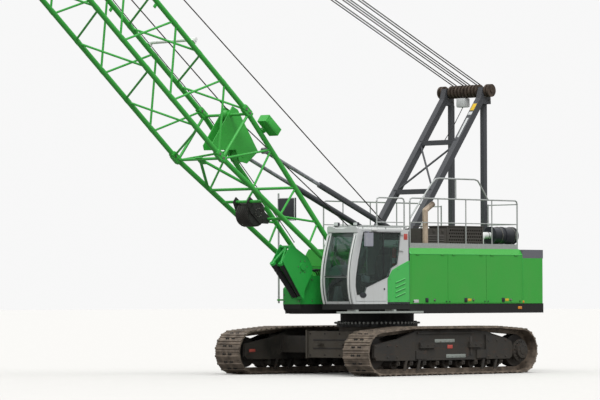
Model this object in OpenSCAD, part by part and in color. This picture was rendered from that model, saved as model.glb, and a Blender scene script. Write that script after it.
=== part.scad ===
/* [Tracks] */
// Length of a track over its shoes
track_len = 6150; // [5800:10:6600]
// Width over both tracks when they are run out
track_wide = 4980; // [4700:10:5200]
// Width of a track shoe
shoe_w = 800; // [700:10:900]
// Height of a track at its highest
track_h = 1150; // [1100:10:1200]
// Radius of the track round the front idler, over the shoes
idler_r = 530; // [500:5:545]
// Radius of the track round the rear sprocket, over the shoes
sprocket_r = 545; // [520:5:560]
// Height of the grousers on a shoe
grouser_h = 25; // [15:1:35]
// Thickness of a shoe plate
shoe_t = 30; // [20:1:40]
// Height of the chain under the shoes
chain_h = 100; // [80:1:110]
// Width of the chain
chain_w = 230; // [180:5:280]
// Number of shoes in a track
shoes = 72; // [60:1:84]
// Radius of a lower roller
roller_r = 125; // [100:1:135]
// Number of lower rollers in a track
rollers = 9; // [7:1:10]
// Distance that each track moves in
track_travel = 700; // [500:10:700]

/* [Track frame] */
// Distance between the outer faces of a track frame's two side plates
frame_w = 560; // [480:5:640]
// Thickness of those side plates
frame_plate = 30; // [20:1:40]
// Height of the track frame's underside
frame_low = 345; // [330:5:380]
// Height of the track frame's top between the rollers
frame_high = 1050; // [1000:5:1060]

/* [Undercarriage] */
// Half length of the centre body, front to back
body_half_x = 1600; // [1500:10:1700]
// Half width of the beam housings
housing_half_y = 850; // [780:10:900]
// Width of a beam housing, front to back
housing_w = 640; // [560:10:700]
// Height of the housings' underside
housing_low = 400; // [380:5:450]
// Height of the housings' top
housing_high = 1030; // [980:5:1050]
// Width of a sliding beam
beam_w = 200; // [160:5:230]
// Height of a sliding beam
beam_h = 400; // [340:5:440]
// Radius of the slewing ring's outer race
ring_r = 980; // [900:5:985]
// Height of the slewing ring's seat
ring_low = 1130; // [1090:5:1145]

/* [Upper deck] */
// Height of the deck's underside
deck_low = 1450; // [1400:5:1500]
// Height of the deck's top
deck_high = 1680; // [1640:5:1720]
// Half width of the machinery house
house_half = 1700; // [1600:10:1800]
// Front end of the machinery house
house_front = 710; // [700:5:730]
// Rear end of the machinery house
house_rear = -3450; // [-3500:10:-3430]
// Height of the house's sides up to the sloped edge
side_high = 2870; // [2800:10:2900]
// Height of the house's roof
roof_high = 3010; // [2960:5:3050]
// How far the sloped edge leans in
slope_in = 100; // [60:5:140]
// Rear end of the counterweight
weight_rear = -4480; // [-4600:10:-4300]
// Thickness of the house's walls
wall = 40; // [30:1:50]
// Half width of the open well between the two sides of the house
well_half = 760; // [740:5:800]
// Rear end of that well
well_rear = -1900; // [-2000:10:-1850]

/* [Boom] */
// Angle of the boom above level
boom_deg = 39.3; // [38.8:0.1:39.8]
// Distance of the boom's foot pin ahead of the slewing axis
foot_x = 1200; // [1180:5:1220]
// Height of the boom's foot pin
foot_z = 1930; // [1900:5:1960]
// Length of the base section
base_len = 5800; // [5700:10:6000]
// Lengths of the insert sections
insert_lens = [6000, 3000];
// Length of the head section, to the axis of its sheaves
head_len = 7200; // [6800:10:7600]
// Half distance between the chords, side to side
chord_y = 720; // [690:5:740]
// Half distance between the chords, top to bottom
chord_z = 685; // [660:5:700]
// Radius of a chord tube
chord_r = 60; // [50:1:65]
// Radius of a lacing tube
lace_r = 26; // [22:1:34]
// Half distance between the two foot eyes
foot_y = 620; // [616:1:622]
// Radius of the foot pin
foot_pin_r = 60; // [45:1:70]
// Radius of a head sheave
sheave_r = 330; // [280:5:360]

/* [A-frame] */
// Height of the sheave axis on top of the A-frame
apex_z = 6950; // [6900:10:7000]
// Place of that axis behind the slewing axis
apex_x = -3330; // [-3360:5:-3300]
// Half distance between the legs
gantry_y = 600; // [590:2:610]
// Width of a front leg
leg_w = 160; // [130:5:170]
// Radius of the apex sheaves
apex_sheave_r = 160; // [130:5:180]

/* [Cab] */
// Inner side of the cab
cab_in = 730; // [725:1:735]
// Outer side of the cab
cab_out = 1700; // [1650:5:1720]
// Rear end of the cab
cab_rear = 735; // [735:1:760]
// Height of the cab's roof
cab_high = 3440; // [3400:10:3480]
// Thickness of the cab's walls
cab_wall = 50; // [40:1:60]

/* [Hidden] */

// Gaps between pieces that seat on each other, and between pieces that move
seat = 0.3;
clear = 8;

green = "#4da349";
steel_grey = "#4a4c52";
track_grey = "#3b3836";

// Draws a round bar between two points.
module bar(a, b, r, fn = 16) {
    d = b - a;
    l = norm(d);
    translate(a)
        rotate([0, acos(d.z / l), atan2(d.y, d.x)])
            cylinder(h = l, r = r, $fn = fn);
}

// Draws a square bar between two points, with its second width level.
module box_bar(a, b, w, level_w) {
    d = b - a;
    l = norm(d);
    translate(a)
        rotate([0, acos(d.z / l), atan2(d.y, d.x)])
            translate([-w / 2, -level_w / 2, 0])
                cube([w, level_w, l]);
}

// Draws a round bar along Y, centred on a height and a length.
module cross_bar(x, z, y0, y1, r, fn = 32) {
    translate([x, y1, z])
        rotate([90, 0, 0])
            cylinder(h = y1 - y0, r = r, $fn = fn);
}

// Draws a plate that stands along Y from an outline in X and Z.
module side_plate(y0, y1, points) {
    translate([0, y1, 0])
        rotate([90, 0, 0])
            linear_extrude(y1 - y0)
                polygon(points);
}

// Draws its child on both sides.
module both_sides() {
    children();
    mirror([0, 1, 0])
        children();
}

// Track: the path is a loop of tangents round four circles.
track_y = track_wide / 2 - shoe_w / 2;
path_in = shoe_t + grouser_h;
idler_x = track_len / 2 - idler_r;
sprocket_x = sprocket_r - track_len / 2;
// Lifts the loop so that no corner of a shoe dips under the ground
belt_lift = 2;
carrier_front = 1400;
carrier_rear = -1600;
carrier_r = 90;
belt_circles = [
    [sprocket_x, sprocket_r + belt_lift, sprocket_r - path_in],
    [idler_x, idler_r + belt_lift, idler_r - path_in],
    [carrier_front, track_h - path_in - 300, 300],
    [carrier_rear, track_h - path_in - 300, 300]
];
belt_n = len(belt_circles);

function next_of(i) = (i + 1) % belt_n;
function prev_of(i) = (i + belt_n - 1) % belt_n;
function belt_out_angle(i) =
    let (a = belt_circles[i], b = belt_circles[next_of(i)], dx = b.x - a.x, dz = b.y - a.y, l = norm([dx, dz]))
    atan2(dz, dx) - acos((a.z - b.z) / l);
function turn(i) = ((belt_out_angle(i) - belt_out_angle(prev_of(i))) % 360 + 360) % 360;
function spot(i, angle, r) = [belt_circles[i].x + r * cos(angle), belt_circles[i].y + r * sin(angle)];
function arc_len(i) = belt_circles[i].z * turn(i) * PI / 180;
function line_len(i) =
    norm(spot(next_of(i), belt_out_angle(i), belt_circles[next_of(i)].z)
        - spot(i, belt_out_angle(i), belt_circles[i].z));
function belt_len(i = 0) = i >= belt_n ? 0 : arc_len(i) + line_len(i) + belt_len(i + 1);
// The place and the outward angle at a distance along the path.
function belt_at(s, i = 0) =
    s <= arc_len(i)
        ? let (angle = belt_out_angle(prev_of(i)) + turn(i) * s / arc_len(i))
            [spot(i, angle, belt_circles[i].z), angle]
        : s <= arc_len(i) + line_len(i) || i == belt_n - 1
            ? let (
                angle = belt_out_angle(i),
                start = spot(i, angle, belt_circles[i].z),
                run = s - arc_len(i)
            )
                [start + run * [-sin(angle), cos(angle)], angle]
            : belt_at(s - arc_len(i) - line_len(i), i + 1);
function belt_point(s, out) =
    let (at = belt_at(s))
    at[0] + out * [cos(at[1]), sin(at[1])];
shoe_pitch = belt_len() / shoes;
// One shoe's outline: along the pitch and outward, with one broad grouser.
shoe_outline = [
    [0.02, 0.2], [0.05, 1], [0.34, 1], [0.40, 2], [0.62, 2], [0.68, 1], [0.97, 1]
];
function shoe_out(level) = level <= 1 ? shoe_t * level : shoe_t + grouser_h * (level - 1);
function shoe_point(k, p) =
    let (at = belt_at((k + 0.5) * shoe_pitch), along = (p[0] - 0.5) * shoe_pitch, out = shoe_out(p[1]))
    at[0] + out * [cos(at[1]), sin(at[1])] + along * [-sin(at[1]), cos(at[1])];
belt_outer = [for (k = [0 : shoes - 1]) for (p = shoe_outline) shoe_point(k, p)];
belt_steps = shoes;
belt_inner = [for (k = [0 : belt_steps - 1]) belt_point(k * belt_len() / belt_steps, 0)];
chain_inner = [for (k = [0 : belt_steps - 1]) belt_point(k * belt_len() / belt_steps, -chain_h)];

module ring_plate(y0, y1, outer, inner) {
    translate([0, y1, 0])
        rotate([90, 0, 0])
            linear_extrude(y1 - y0)
                difference() {
                    polygon(outer);
                    polygon(inner);
                }
}

module track_shoes() {
    color(track_grey)
        union() {
            ring_plate(track_y - shoe_w / 2, track_y + shoe_w / 2, belt_outer, belt_inner);
            ring_plate(track_y - chain_w / 2, track_y + chain_w / 2,
                [for (k = [0 : belt_steps - 1]) belt_point(k * belt_len() / belt_steps, 3)], chain_inner);
        }
}

wheel_gap = chain_h + path_in + seat;
// Room for the flats of the chain round the end wheels
arc_gap = 10;
roller_z = wheel_gap + belt_lift + roller_r;
roller_first = idler_x - 660;
roller_last = sprocket_x + 700;
roller_pitch = (roller_first - roller_last) / (rollers - 1);
frame_in = frame_w / 2 - frame_plate;
wheel_y0 = track_y - frame_in + seat;
wheel_y1 = track_y + frame_in - seat;

// A wheel across the frame, with a wide tread and a narrower hub at both ends.
module frame_wheel(x, z, r, tread, hub_r) {
    union() {
        cross_bar(x, z, track_y - tread / 2, track_y + tread / 2, r, 48);
        cross_bar(x, z, wheel_y0, wheel_y1, hub_r, 32);
    }
}

module track_wheels() {
    color(track_grey) {
        frame_wheel(idler_x, idler_r + belt_lift, idler_r - wheel_gap - arc_gap, chain_w, 110);
        frame_wheel(sprocket_x, sprocket_r + belt_lift, sprocket_r - wheel_gap - arc_gap, chain_w, 150);
        for (k = [0 : rollers - 1])
            frame_wheel(roller_last + k * roller_pitch, roller_z, roller_r, chain_w + 40, 60);
        for (x = [carrier_front, (carrier_front + carrier_rear) / 2, carrier_rear])
            frame_wheel(x, track_h - wheel_gap - arc_gap - carrier_r, carrier_r, chain_w, 45);
    }
}

frame_outline = [
    [idler_x + 180, frame_low + 15], [idler_x + 235, 430], [idler_x + 225, 730],
    [1930, 865], [1310, frame_high], [-763, frame_high], [-1268, frame_high - 35],
    [-1996, 855], [sprocket_x + 300, 760], [sprocket_x + 250, 545],
    [sprocket_x + 300, 400], [sprocket_x + 420, frame_low], [idler_x - 80, frame_low]
];
front_panel = [
    [idler_x + 150, frame_low + 25], [idler_x + 225, 440], [idler_x + 215, 720],
    [1935, 853], [1900, 853], [1900, frame_low + 10]
];
slope_panel = [[1920, 850], [1920, frame_low + 11], [1320, frame_low + 11], [1320, frame_high - 15]];
rear_panel = [[-1215, 935], [-1990, 845], [-2110, frame_low + 10], [-1235, frame_low + 10]];

beam_x = body_half_x - housing_w / 2;
beam_low = housing_low + (housing_high - housing_low - beam_h) / 2;
// The left track's beams lie nearer the slewing axis, the right track's outside them.
function beam_place(side, end) = end * (beam_x - side * (beam_w / 2 + 20));

module track_frame(side) {
    color(track_grey)
        union() {
            both_plates();
            // The box between the plates
            translate([sprocket_x + 640, track_y - frame_in, 560])
                cube([idler_x - 560 - sprocket_x - 640, 2 * frame_in, 140]);
            // Drive hub outside the rear end
            cross_bar(sprocket_x, sprocket_r, track_y + frame_in, track_y + frame_w / 2 + 20, 270, 48);
            cross_bar(sprocket_x, sprocket_r, track_y + frame_in, track_y + frame_w / 2 + 95, 185, 48);
            cross_bar(sprocket_x, sprocket_r, track_y + frame_in, track_y + frame_w / 2 + 110, 90, 48);
            cross_bar(sprocket_x, sprocket_r, track_y - frame_w / 2 - 60, track_y - frame_in, 260, 48);
            frame_panels();
            for (k = [0 : rollers - 1])
                roller_lugs(roller_last + k * roller_pitch);
            for (end = [-1, 1])
                beam_foot(side, end);
        }
    color(track_grey)
        for (end = [-1, 1])
            track_beam(side, end);
}

// Raised panels on both faces of the frame, brackets and chain guards
module frame_panels() {
    face_plates(44, front_panel);
    face_plates(30, slope_panel);
    face_plates(44, rear_panel);
    out = track_y + frame_w / 2 - 1;
    for (x = [630, -1060])
        translate([x, out, 640])
            cube([x > 0 ? 535 : 450, 60, 130]);
    for (x = [922, -1268])
        translate([x, out, 385])
            cube([370, 40, 195]);
    // Ribs along the upper and lower edges of the middle part
    for (z = [frame_low + 6, frame_high - 80])
        translate([-760, out, z])
            cube([1980, 25, 40]);
    // Legs that guide the chain, halfway between rollers
    for (k = [0.5, 1.5, rollers - 2.5, rollers - 1.5]) {
        x = roller_last + k * roller_pitch;
        face_plates(29, [[x - 70, 360], [x, 360], [x + 70, 120], [x, 120]]);
    }
}

// A plate on the outer and on the inner face of the frame
module face_plates(t, points) {
    side_plate(track_y + frame_w / 2 - 1, track_y + frame_w / 2 + t, points);
    side_plate(track_y - frame_w / 2 - t, track_y - frame_w / 2 + 1, points);
}

module both_plates() {
    side_plate(track_y + frame_in, track_y + frame_w / 2, frame_outline);
    side_plate(track_y - frame_w / 2, track_y - frame_in, frame_outline);
}

// Lugs that carry a lower roller's axle
module roller_lugs(x) {
    for (y = [track_y + frame_in, track_y - frame_w / 2])
        translate([x - 55, y, roller_z - 40])
            cube([110, frame_plate, frame_low - roller_z + 60]);
}

// Foot on the frame's inner face that a sliding beam is bolted to
foot_t = 60;
module beam_foot(side, end) {
    translate([beam_place(side, end) - beam_w / 2 - 30, track_y - frame_w / 2 - foot_t, beam_low - 25])
        cube([beam_w + 60, foot_t + frame_plate - 1, beam_h + 50]);
}

// Sliding beam from the foot inward
module track_beam(side, end) {
    inner = track_travel - housing_half_y + 300;
    translate([beam_place(side, end) - beam_w / 2, inner, beam_low])
        cube([beam_w, track_y - frame_w / 2 - foot_t - seat - inner, beam_h]);
}

module beam_tunnel(side, end) {
    translate([beam_place(side, end) - beam_w / 2 - clear, -housing_half_y - 1, beam_low - seat])
        cube([beam_w + 2 * clear, 2 * housing_half_y + 2, beam_h + clear + seat]);
}

eye_r = 32;
eye_t = 40;
eye_y = 380;
eye_z = 720;
// Flat lashing eye on the end of a beam housing
module lashing_eye(end, y) {
    x = end * (body_half_x + 70);
    translate([0, 0, eye_z - eye_t / 2])
        difference() {
            union() {
                translate([x, y, 0])
                    cylinder(h = eye_t, r = 75, $fn = 48);
                linear_extrude(eye_t)
                    polygon([
                        [end * (body_half_x - 1), y - 110], [x, y - 75],
                        [x, y + 75], [end * (body_half_x - 1), y + 110]
                    ]);
            }
            translate([x, y, -1])
                cylinder(h = eye_t + 2, r = eye_r, $fn = 48);
        }
}

module car_body() {
    color(track_grey)
        for (end = [-1, 1])
            for (y = [-eye_y, eye_y])
                lashing_eye(end, y);
    color(track_grey)
        difference() {
            union() {
                for (end = [-1, 1])
                    translate([end * beam_x - housing_w / 2, -housing_half_y, housing_low])
                        cube([housing_w, 2 * housing_half_y, housing_high - housing_low]);
                // Collars where the beams leave the housings
                for (end = [-1, 1])
                    for (y = [-housing_half_y, housing_half_y - 60])
                        translate([end * beam_x - housing_w / 2 - 25, y, housing_low - 20])
                            cube([housing_w + 50, 60, housing_high - housing_low + 45]);
                // Centre box between the housings
                translate([-beam_x, -720, housing_low + 40])
                    cube([2 * beam_x, 1440, housing_high - housing_low - 40]);
                // Round seat of the slewing ring
                translate([0, 0, housing_high - 300])
                    cylinder(h = ring_low - housing_high + 300, r = ring_r - 60, $fn = 64);
            }
            for (end = [-1, 1])
                for (side = [-1, 1])
                    beam_tunnel(side, end);
            translate([0, 0, housing_low - 10])
                cylinder(h = 2000, r = 300, $fn = 48);
        }
}

ring_bolts = 40;
race_in = ring_r - 90;
module slew_ring() {
    color(steel_grey)
        union() {
            difference() {
                translate([0, 0, ring_low])
                    cylinder(h = 120, r = ring_r, $fn = 96);
                translate([0, 0, ring_low - 1])
                    cylinder(h = 122, r = race_in, $fn = 96);
            }
            for (k = [0 : ring_bolts - 1])
                rotate(k * 360 / ring_bolts)
                    translate([ring_r - 40, 0, ring_low + 119])
                        cylinder(h = 22, r = 20, $fn = 6);
        }
}

// Revolving deck
nose_half = 280;
nose_front = 3000;
nose_high = 2350;
rear_half = house_half - 10;
deck_rear = weight_rear + 220;
foot_gap = 65;
bracket_t = 30;
module deck_frame() {
    color(steel_grey)
        union() {
            // Inner race under the deck
            translate([0, 0, ring_low + seat])
                cylinder(h = deck_low - ring_low, r = race_in - seat, $fn = 96);
            // Deck plate, on under the counterweight
            translate([deck_rear, -rear_half, deck_low])
                cube([house_front - deck_rear, 2 * rear_half, deck_high - deck_low]);
            // Main frame on to the boom's feet
            translate([house_front - 1, -foot_y - 120, deck_low])
                cube([foot_x + 360 - house_front, 2 * foot_y + 240, deck_high - deck_low]);
            // Arm under the cab
            translate([house_front - 1, cab_in, deck_high - 130])
                cube([2720 - house_front, rear_half - cab_in, 130]);
            // Arm under the tank
            translate([house_front - 1, -rear_half, deck_low])
                cube([tank_front + 1 - house_front, rear_half - 850, deck_high - deck_low]);
            // Nose
            side_plate(-nose_half, nose_half, [
                [house_front - 1, deck_low], [nose_front - 230, deck_low], [nose_front - 90, deck_low + 45],
                [nose_front - 20, deck_low + 120], [nose_front, deck_high], [house_front - 1, deck_high]
            ]);
            both_sides()
                foot_bracket();
            both_sides()
                gantry_foot();
        }
}

// Open box on the nose
module nose_box() {
    color(green)
        difference() {
            side_plate(-nose_half, nose_half, [
                [nose_front, deck_high], [nose_front, nose_high - 300], [2620, nose_high],
                [1900, nose_high], [1650, deck_high]
            ]);
            translate([1940, -nose_half + 40, deck_high + 40])
                cube([nose_front - 1980, 2 * nose_half - 80, 900]);
        }
}

// Two plates with the boom's foot pin between them
module foot_bracket() {
    for (y = [foot_y - foot_gap - bracket_t, foot_y + foot_gap])
        side_plate(y, y + bracket_t, [
            [foot_x - 330, deck_high - 1], [foot_x + 330, deck_high - 1],
            [foot_x + 120, foot_z + 90], [foot_x - 120, foot_z + 90]
        ]);
    cross_bar(foot_x, foot_z, foot_y - foot_gap - bracket_t - 10,
        foot_y + foot_gap + bracket_t + 5, foot_pin_r, 48);
}

gantry_foot_x = 560;
gantry_foot_z = 2000;
module gantry_foot() {
    for (y = [gantry_y - leg_w / 2 - bracket_t - seat, gantry_y + leg_w / 2 + seat])
        side_plate(y, y + bracket_t, [
            [gantry_foot_x - 180, deck_high - 1], [gantry_foot_x + 150, deck_high - 1],
            [gantry_foot_x + 90, gantry_foot_z + 100], [gantry_foot_x - 90, gantry_foot_z + 100]
        ]);
}

// Machinery house
door_seams = [house_front - 60, -660, -2080, -3400];
door_gap = 10;
module house_profile(grow) {
    rotate([90, 0, 90])
        linear_extrude(house_front - house_rear)
            polygon([
                [-house_half + grow, deck_high], [house_half - grow, deck_high],
                [house_half - grow, side_high - grow * 0.4],
                [house_half - slope_in - grow * 0.7, roof_high - grow],
                [-house_half + slope_in + grow * 0.7, roof_high - grow],
                [-house_half + grow, side_high - grow * 0.4]
            ]);
}

module house_shell() {
    color(green)
        difference() {
            translate([house_rear, 0, 0])
                house_profile(0);
            // Bays behind the doors, on both sides
            both_sides()
                for (k = [0 : 2])
                    translate([door_seams[k + 1] + 30, well_half + wall, deck_high + wall])
                        cube([
                            door_seams[k] - door_seams[k + 1] - 60, 1000,
                            side_high - deck_high - 2 * wall - 20
                        ]);
            // Recess that the doors close
            both_sides()
                translate([door_seams[3], house_half - wall, deck_high + 10])
                    cube([door_seams[0] - door_seams[3], 100, side_high - deck_high - 10]);
            // Open well for the winches
            translate([well_rear, -well_half, deck_high - 10])
                cube([house_front - well_rear + 10, 2 * well_half, 2000]);
            // Engine room
            translate([house_rear + wall, -well_half, deck_high - 10])
                cube([well_rear - house_rear - 2 * wall, 2 * well_half, roof_high - deck_high - wall + 10]);
        }
}

module engine() {
    color("#55585c")
        translate([house_rear + 160, -500, deck_high])
            cube([well_rear - house_rear - 320, 1000, 1000]);
}

// Door that hangs from its top edge: a pressed skin with a rim
module side_door(k) {
    x0 = door_seams[k + 1] + door_gap / 2;
    x1 = door_seams[k] - door_gap / 2;
    color(green)
        union() {
            difference() {
                translate([x0, house_half - wall + seat, deck_high + 18])
                    cube([x1 - x0, wall - seat, side_high - deck_high - 26]);
                translate([x0 + 40, house_half - wall - 1, deck_high + 58])
                    cube([x1 - x0 - 80, wall - 7, side_high - deck_high - 106]);
            }
            for (x = [x0 + 140, x1 - 260])
                door_knuckle(x);
        }
}

// Knuckle of a door's hinge, on its axis
knuckle_r = 8;
module door_knuckle(x) {
    z = side_high - 10;
    translate([x, house_half + 12, z])
        rotate([0, 90, 0])
            cylinder(h = 120, r = knuckle_r, $fn = 24);
    translate([x + 10, house_half - 2, z - 22])
        cube([100, 14, 18]);
}

weight_corner = 260;
module counterweight() {
    color(green)
        translate([0, 0, deck_high])
            linear_extrude(cap_low - deck_high)
                polygon([
                    [house_rear - seat, -house_half], [house_rear - seat, house_half],
                    [weight_rear + weight_corner, house_half], [weight_rear, house_half - weight_corner],
                    [weight_rear, weight_corner - house_half], [weight_rear + weight_corner, -house_half]
                ]);
}

// Dark slab on top of the counterweight, with its rear corners rounded
cap_low = 2790;
cap_corner = 330;
module weight_cap() {
    color(steel_grey)
        union() {
            translate([0, 0, cap_low])
                linear_extrude(roof_high - 10 - cap_low)
                    polygon([
                        [house_rear - seat, -house_half], [house_rear - seat, house_half],
                        [weight_rear + cap_corner + 30, house_half],
                        [weight_rear + 30, house_half - cap_corner],
                        [weight_rear + 30, cap_corner - house_half],
                        [weight_rear + cap_corner + 30, -house_half]
                    ]);
            both_sides()
                translate([weight_rear + cap_corner + 30, house_half - cap_corner, cap_low])
                    cylinder(h = roof_high - 10 - cap_low, r = cap_corner, $fn = 64);
        }
}

// Hood and grille box on the left roof
module roof_hood() {
    color(steel_grey)
        union() {
            translate([-950, 850, roof_high])
                cube([940, 560, 480]);
            difference() {
                translate([-2300, 850, roof_high])
                    cube([1351, 560, 530]);
                for (i = [0 : 14])
                    for (j = [0 : 4])
                        translate([-2270 + i * 82 + (j % 2) * 30, 1350, roof_high + 110 + j * 78])
                            cube([52, 100, 42]);
            }
            translate([-2310, 840, roof_high + 529])
                cube([1380, 590, 25]);
        }
}

pipe_x = -90;
pipe_y = 1480;
module exhaust_pipe() {
    color("#c3b29e")
        difference() {
            union() {
                translate([pipe_x, pipe_y, roof_high])
                    cylinder(h = 905, r = 68, $fn = 32);
                translate([pipe_x, pipe_y, roof_high + 905])
                    sphere(r = 68, $fn = 32);
                bar([pipe_x, pipe_y, roof_high + 905], [pipe_x - 280, pipe_y, roof_high + 1070], 68, 32);
            }
            bar([pipe_x - 140, pipe_y, roof_high + 987.5],
                [pipe_x - 340, pipe_y, roof_high + 1105.4], 56, 32);
        }
}

module air_filter() {
    color("#23262c")
        union() {
            translate([-3690, 1150, roof_high + 340])
                rotate([0, 90, 0])
                    cylinder(h = 810, r = 205, $fn = 48);
            for (x = [-3710, -3310, -2900])
                translate([x, 1150, roof_high + 340])
                    rotate([0, 90, 0])
                        cylinder(h = 40, r = 218, $fn = 48);
            for (x = [-3600, -3120])
                translate([x, 1040, x < house_rear ? roof_high - 10 : roof_high])
                    cube([60, 220, 210]);
        }
}

// Elbow between the filter and the roof
elbow_r = 78;
elbow_bend = 130;
elbow_run = 210;
module filter_elbow() {
    color("#e0e2e4")
        union() {
            translate([-2860 + seat, 1150, roof_high + 340])
                rotate([0, 90, 0])
                    cylinder(h = elbow_run, r = elbow_r, $fn = 32);
            translate([-2860 + elbow_run + seat, 1150, roof_high + 340 - elbow_bend])
                rotate([90, 0, 0])
                    rotate_extrude(angle = 90, $fn = 48)
                        translate([elbow_bend, 0])
                            circle(r = elbow_r, $fn = 32);
            translate([-2860 + elbow_run + seat + elbow_bend, 1150, roof_high])
                cylinder(h = 340 - elbow_bend, r = elbow_r, $fn = 32);
        }
}

rail_y = house_half - slope_in - 25;
rail_high = 4200;
rail_mid = 3620;
rail_r = 18;
left_posts = [-450, -1470, -2440];
right_posts = [-500, -1500, -2480];
rail_rear = -3400;
module guard_rails() {
    color("#c9ccce") {
        walkway_rail(1, 570, left_posts, 640);
        walkway_rail(-1, 200, right_posts, 900);
    }
}

// Rails of one walkway: toe board, posts, two bars and a return at the rear end
module walkway_rail(side, front, posts, rear_end) {
    y = side * rail_y;
    inner = side * rear_end;
    union() {
        translate([rail_rear - 10, y - 6, roof_high])
            cube([front + 20 - rail_rear, 12, 120]);
        rail_loop(rail_rear, front, y, roof_high, rail_high);
        for (x = posts)
            bar([x, y, roof_high], [x, y, rail_high - 5], 15, 24);
        bar([rail_rear, y, rail_mid], [front, y, rail_mid], 12, 24);
        for (z = [rail_mid, rail_high - 90])
            bar([rail_rear, y, z], [rail_rear, inner, z], 14, 24);
        bar([rail_rear, inner, roof_high], [rail_rear, inner, rail_high - 70], rail_r, 24);
    }
}

// Upright loop of tube along X with cut corners
module rail_loop(x0, x1, y, z0, z1) {
    c = 80;
    spots = [
        [x0, y, z0], [x0, y, z1 - c], [x0 + c * 0.3, y, z1 - c * 0.3], [x0 + c, y, z1],
        [x1 - c, y, z1], [x1 - c * 0.3, y, z1 - c * 0.3], [x1, y, z1 - c], [x1, y, z0]
    ];
    for (k = [0 : len(spots) - 2])
        bar(spots[k], spots[k + 1], rail_r, 24);
    for (k = [1 : len(spots) - 2])
        translate(spots[k])
            sphere(r = rail_r + 3, $fn = 24);
}

// Cab: outline of its side, with a bowed front
cab_low = deck_high;
cab_steps = 12;
function cab_front(z, grow) =
    let (t = (z - cab_low) / (cab_high - cab_low))
    2690 - 185 * t + 4 * t * (1 - t) * (215 - 110 * t) - grow;
// A band along the bowed front, between two depths, through a list of heights
function front_band(out, in, levels) =
    concat(
        [for (z = levels) [cab_front(z, -out), z]],
        [for (k = [len(levels) - 1 : -1 : 0]) [cab_front(levels[k], in), levels[k]]]
    );
function levels_between(z0, z1) = [for (k = [0 : 8]) z0 + k * (z1 - z0) / 8];
function cab_points(grow) =
    concat(
        [[cab_rear + grow, cab_low + grow]],
        [
            for (k = [0 : cab_steps])
                let (z = cab_low + grow + k * (cab_high - cab_low - 2 * grow) / cab_steps)
                [cab_front(z, grow), z]
        ],
        [[cab_rear + grow, cab_high - grow]]
    );
// Outline moved inward by the same distance along every edge
function unit(v) = v / norm(v);
function inset(points, by) = [
    for (i = [0 : len(points) - 1])
        let (
            n = len(points),
            u = unit(points[i] - points[(i + n - 1) % n]),
            v = unit(points[(i + 1) % n] - points[i])
        )
        points[i] + by / (1 + u * v) * [-u.y - v.y, u.x + v.x]
];
door_outline = [
    [1530, cab_low + 60], [2610, cab_low + 60], [2690, 2050], [2685, 2350], [2600, 2720],
    [2480, 3160], [2400, cab_high - 45], [1010, cab_high - 45], [1090, 2880], [1130, 2590],
    [1335, 2505], [1420, 2370], [1500, 2285]
];
door_window = [
    [2250, 2075], [2310, 1925], [2570, 1900], [2615, 2100], [2605, 2300], [2530, 2680],
    [2395, 3170], [2345, cab_high - 75], [1050, cab_high - 75], [1125, 2880], [1175, 2625],
    [1378, 2535], [1462, 2375], [1470, 2330]
];
door_t = 40;
door_flange = 30;
// Width of a windscreen pillar and height of the bar between the two screens
pillar = 130;
screen_mid = 2325;
module cab_shell() {
    color("#e8eaea") {
        cab_visor();
        difference() {
            side_plate(cab_in, cab_out, cab_points(0));
            side_plate(cab_in + cab_wall, cab_out - cab_wall, cab_points(cab_wall));
            // Door opening, with a flange that the door closes on
            side_plate(cab_out - door_t - seat, cab_out + 1, door_outline);
            side_plate(cab_out - cab_wall - 1, cab_out, inset(door_outline, door_flange));
            // Inner side window
            side_plate(cab_in - 1, cab_in + cab_wall + 1, [
                [1200, 2400], [2450, 2400], [2500, 2800], [2350, cab_high - 180], [1200, cab_high - 180]
            ]);
            // Windscreens above and below the cross member
            translate([2200, cab_in + pillar, screen_mid + 20])
                cube([1000, cab_out - cab_in - 2 * pillar, cab_high - screen_mid - 20 - 90]);
            translate([2200, cab_in + pillar, cab_low + 60])
                cube([1000, cab_out - cab_in - 2 * pillar, screen_mid - 20 - cab_low - 60]);
            // Rear window
            translate([cab_rear - 1, cab_in + 150, 2500])
                cube([cab_wall + 2, cab_out - cab_in - 300, 700]);
        }
    }
}

glass_t = 10;
module cab_glass() {
    color("#9fb8b4", 0.4) {
        // Windscreens, seated in the openings of the shell
        for (z = [[screen_mid + 20, cab_high - 90], [cab_low + 60, screen_mid - 20]])
            side_plate(cab_in + pillar + seat, cab_out - pillar - seat,
                front_band(-15, 15 + glass_t, levels_between(z[0] + seat, z[1] - seat)));
        // Inner side window and rear window
        side_plate(cab_in + 20, cab_in + 20 + glass_t, [
            [1200 + seat, 2400 + seat], [2450 - seat, 2400 + seat], [2500 - 2 * seat, 2800],
            [2350 - 2 * seat, cab_high - 180 - seat], [1200 + seat, cab_high - 180 - seat]
        ]);
        translate([cab_rear + 20, cab_in + 150 + seat, 2500 + seat])
            cube([glass_t, cab_out - cab_in - 300 - 2 * seat, 700 - 2 * seat]);
    }
}

// Black strips on the windscreen pillars, and the dark band under the roof's rail
strip_t = 7;
strip_levels = [for (k = [0 : cab_steps - 1]) cab_low + k * (cab_high - cab_low) / cab_steps];
module cab_trims() {
    color("#1c1e20") {
        for (y = [[cab_in + 6, cab_in + 62], [cab_out - 104, cab_out - 58]])
            side_plate(y[0], y[1], front_band(strip_t, -seat, strip_levels));
        translate([cab_rear + 60, cab_in + 90, cab_high + seat])
            cube([1620, cab_out - cab_in - 280, 45]);
    }
}

// White visor over the windscreen, with a dip in the middle
module cab_visor() {
    translate([cab_front(cab_high, 0) - 5, 0, 0])
        rotate([90, 0, 90])
            linear_extrude(52)
                polygon([
                    [cab_in + 2, 3365], [cab_out - 2, 3355], [cab_out - 2, 3455], [cab_out - 60, 3500],
                    [1500, 3505], [1400, 3485], [1250, 3445], [1040, 3445], [880, 3505],
                    [cab_in + 40, 3515], [cab_in + 2, 3480]
                ]);
}

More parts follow.
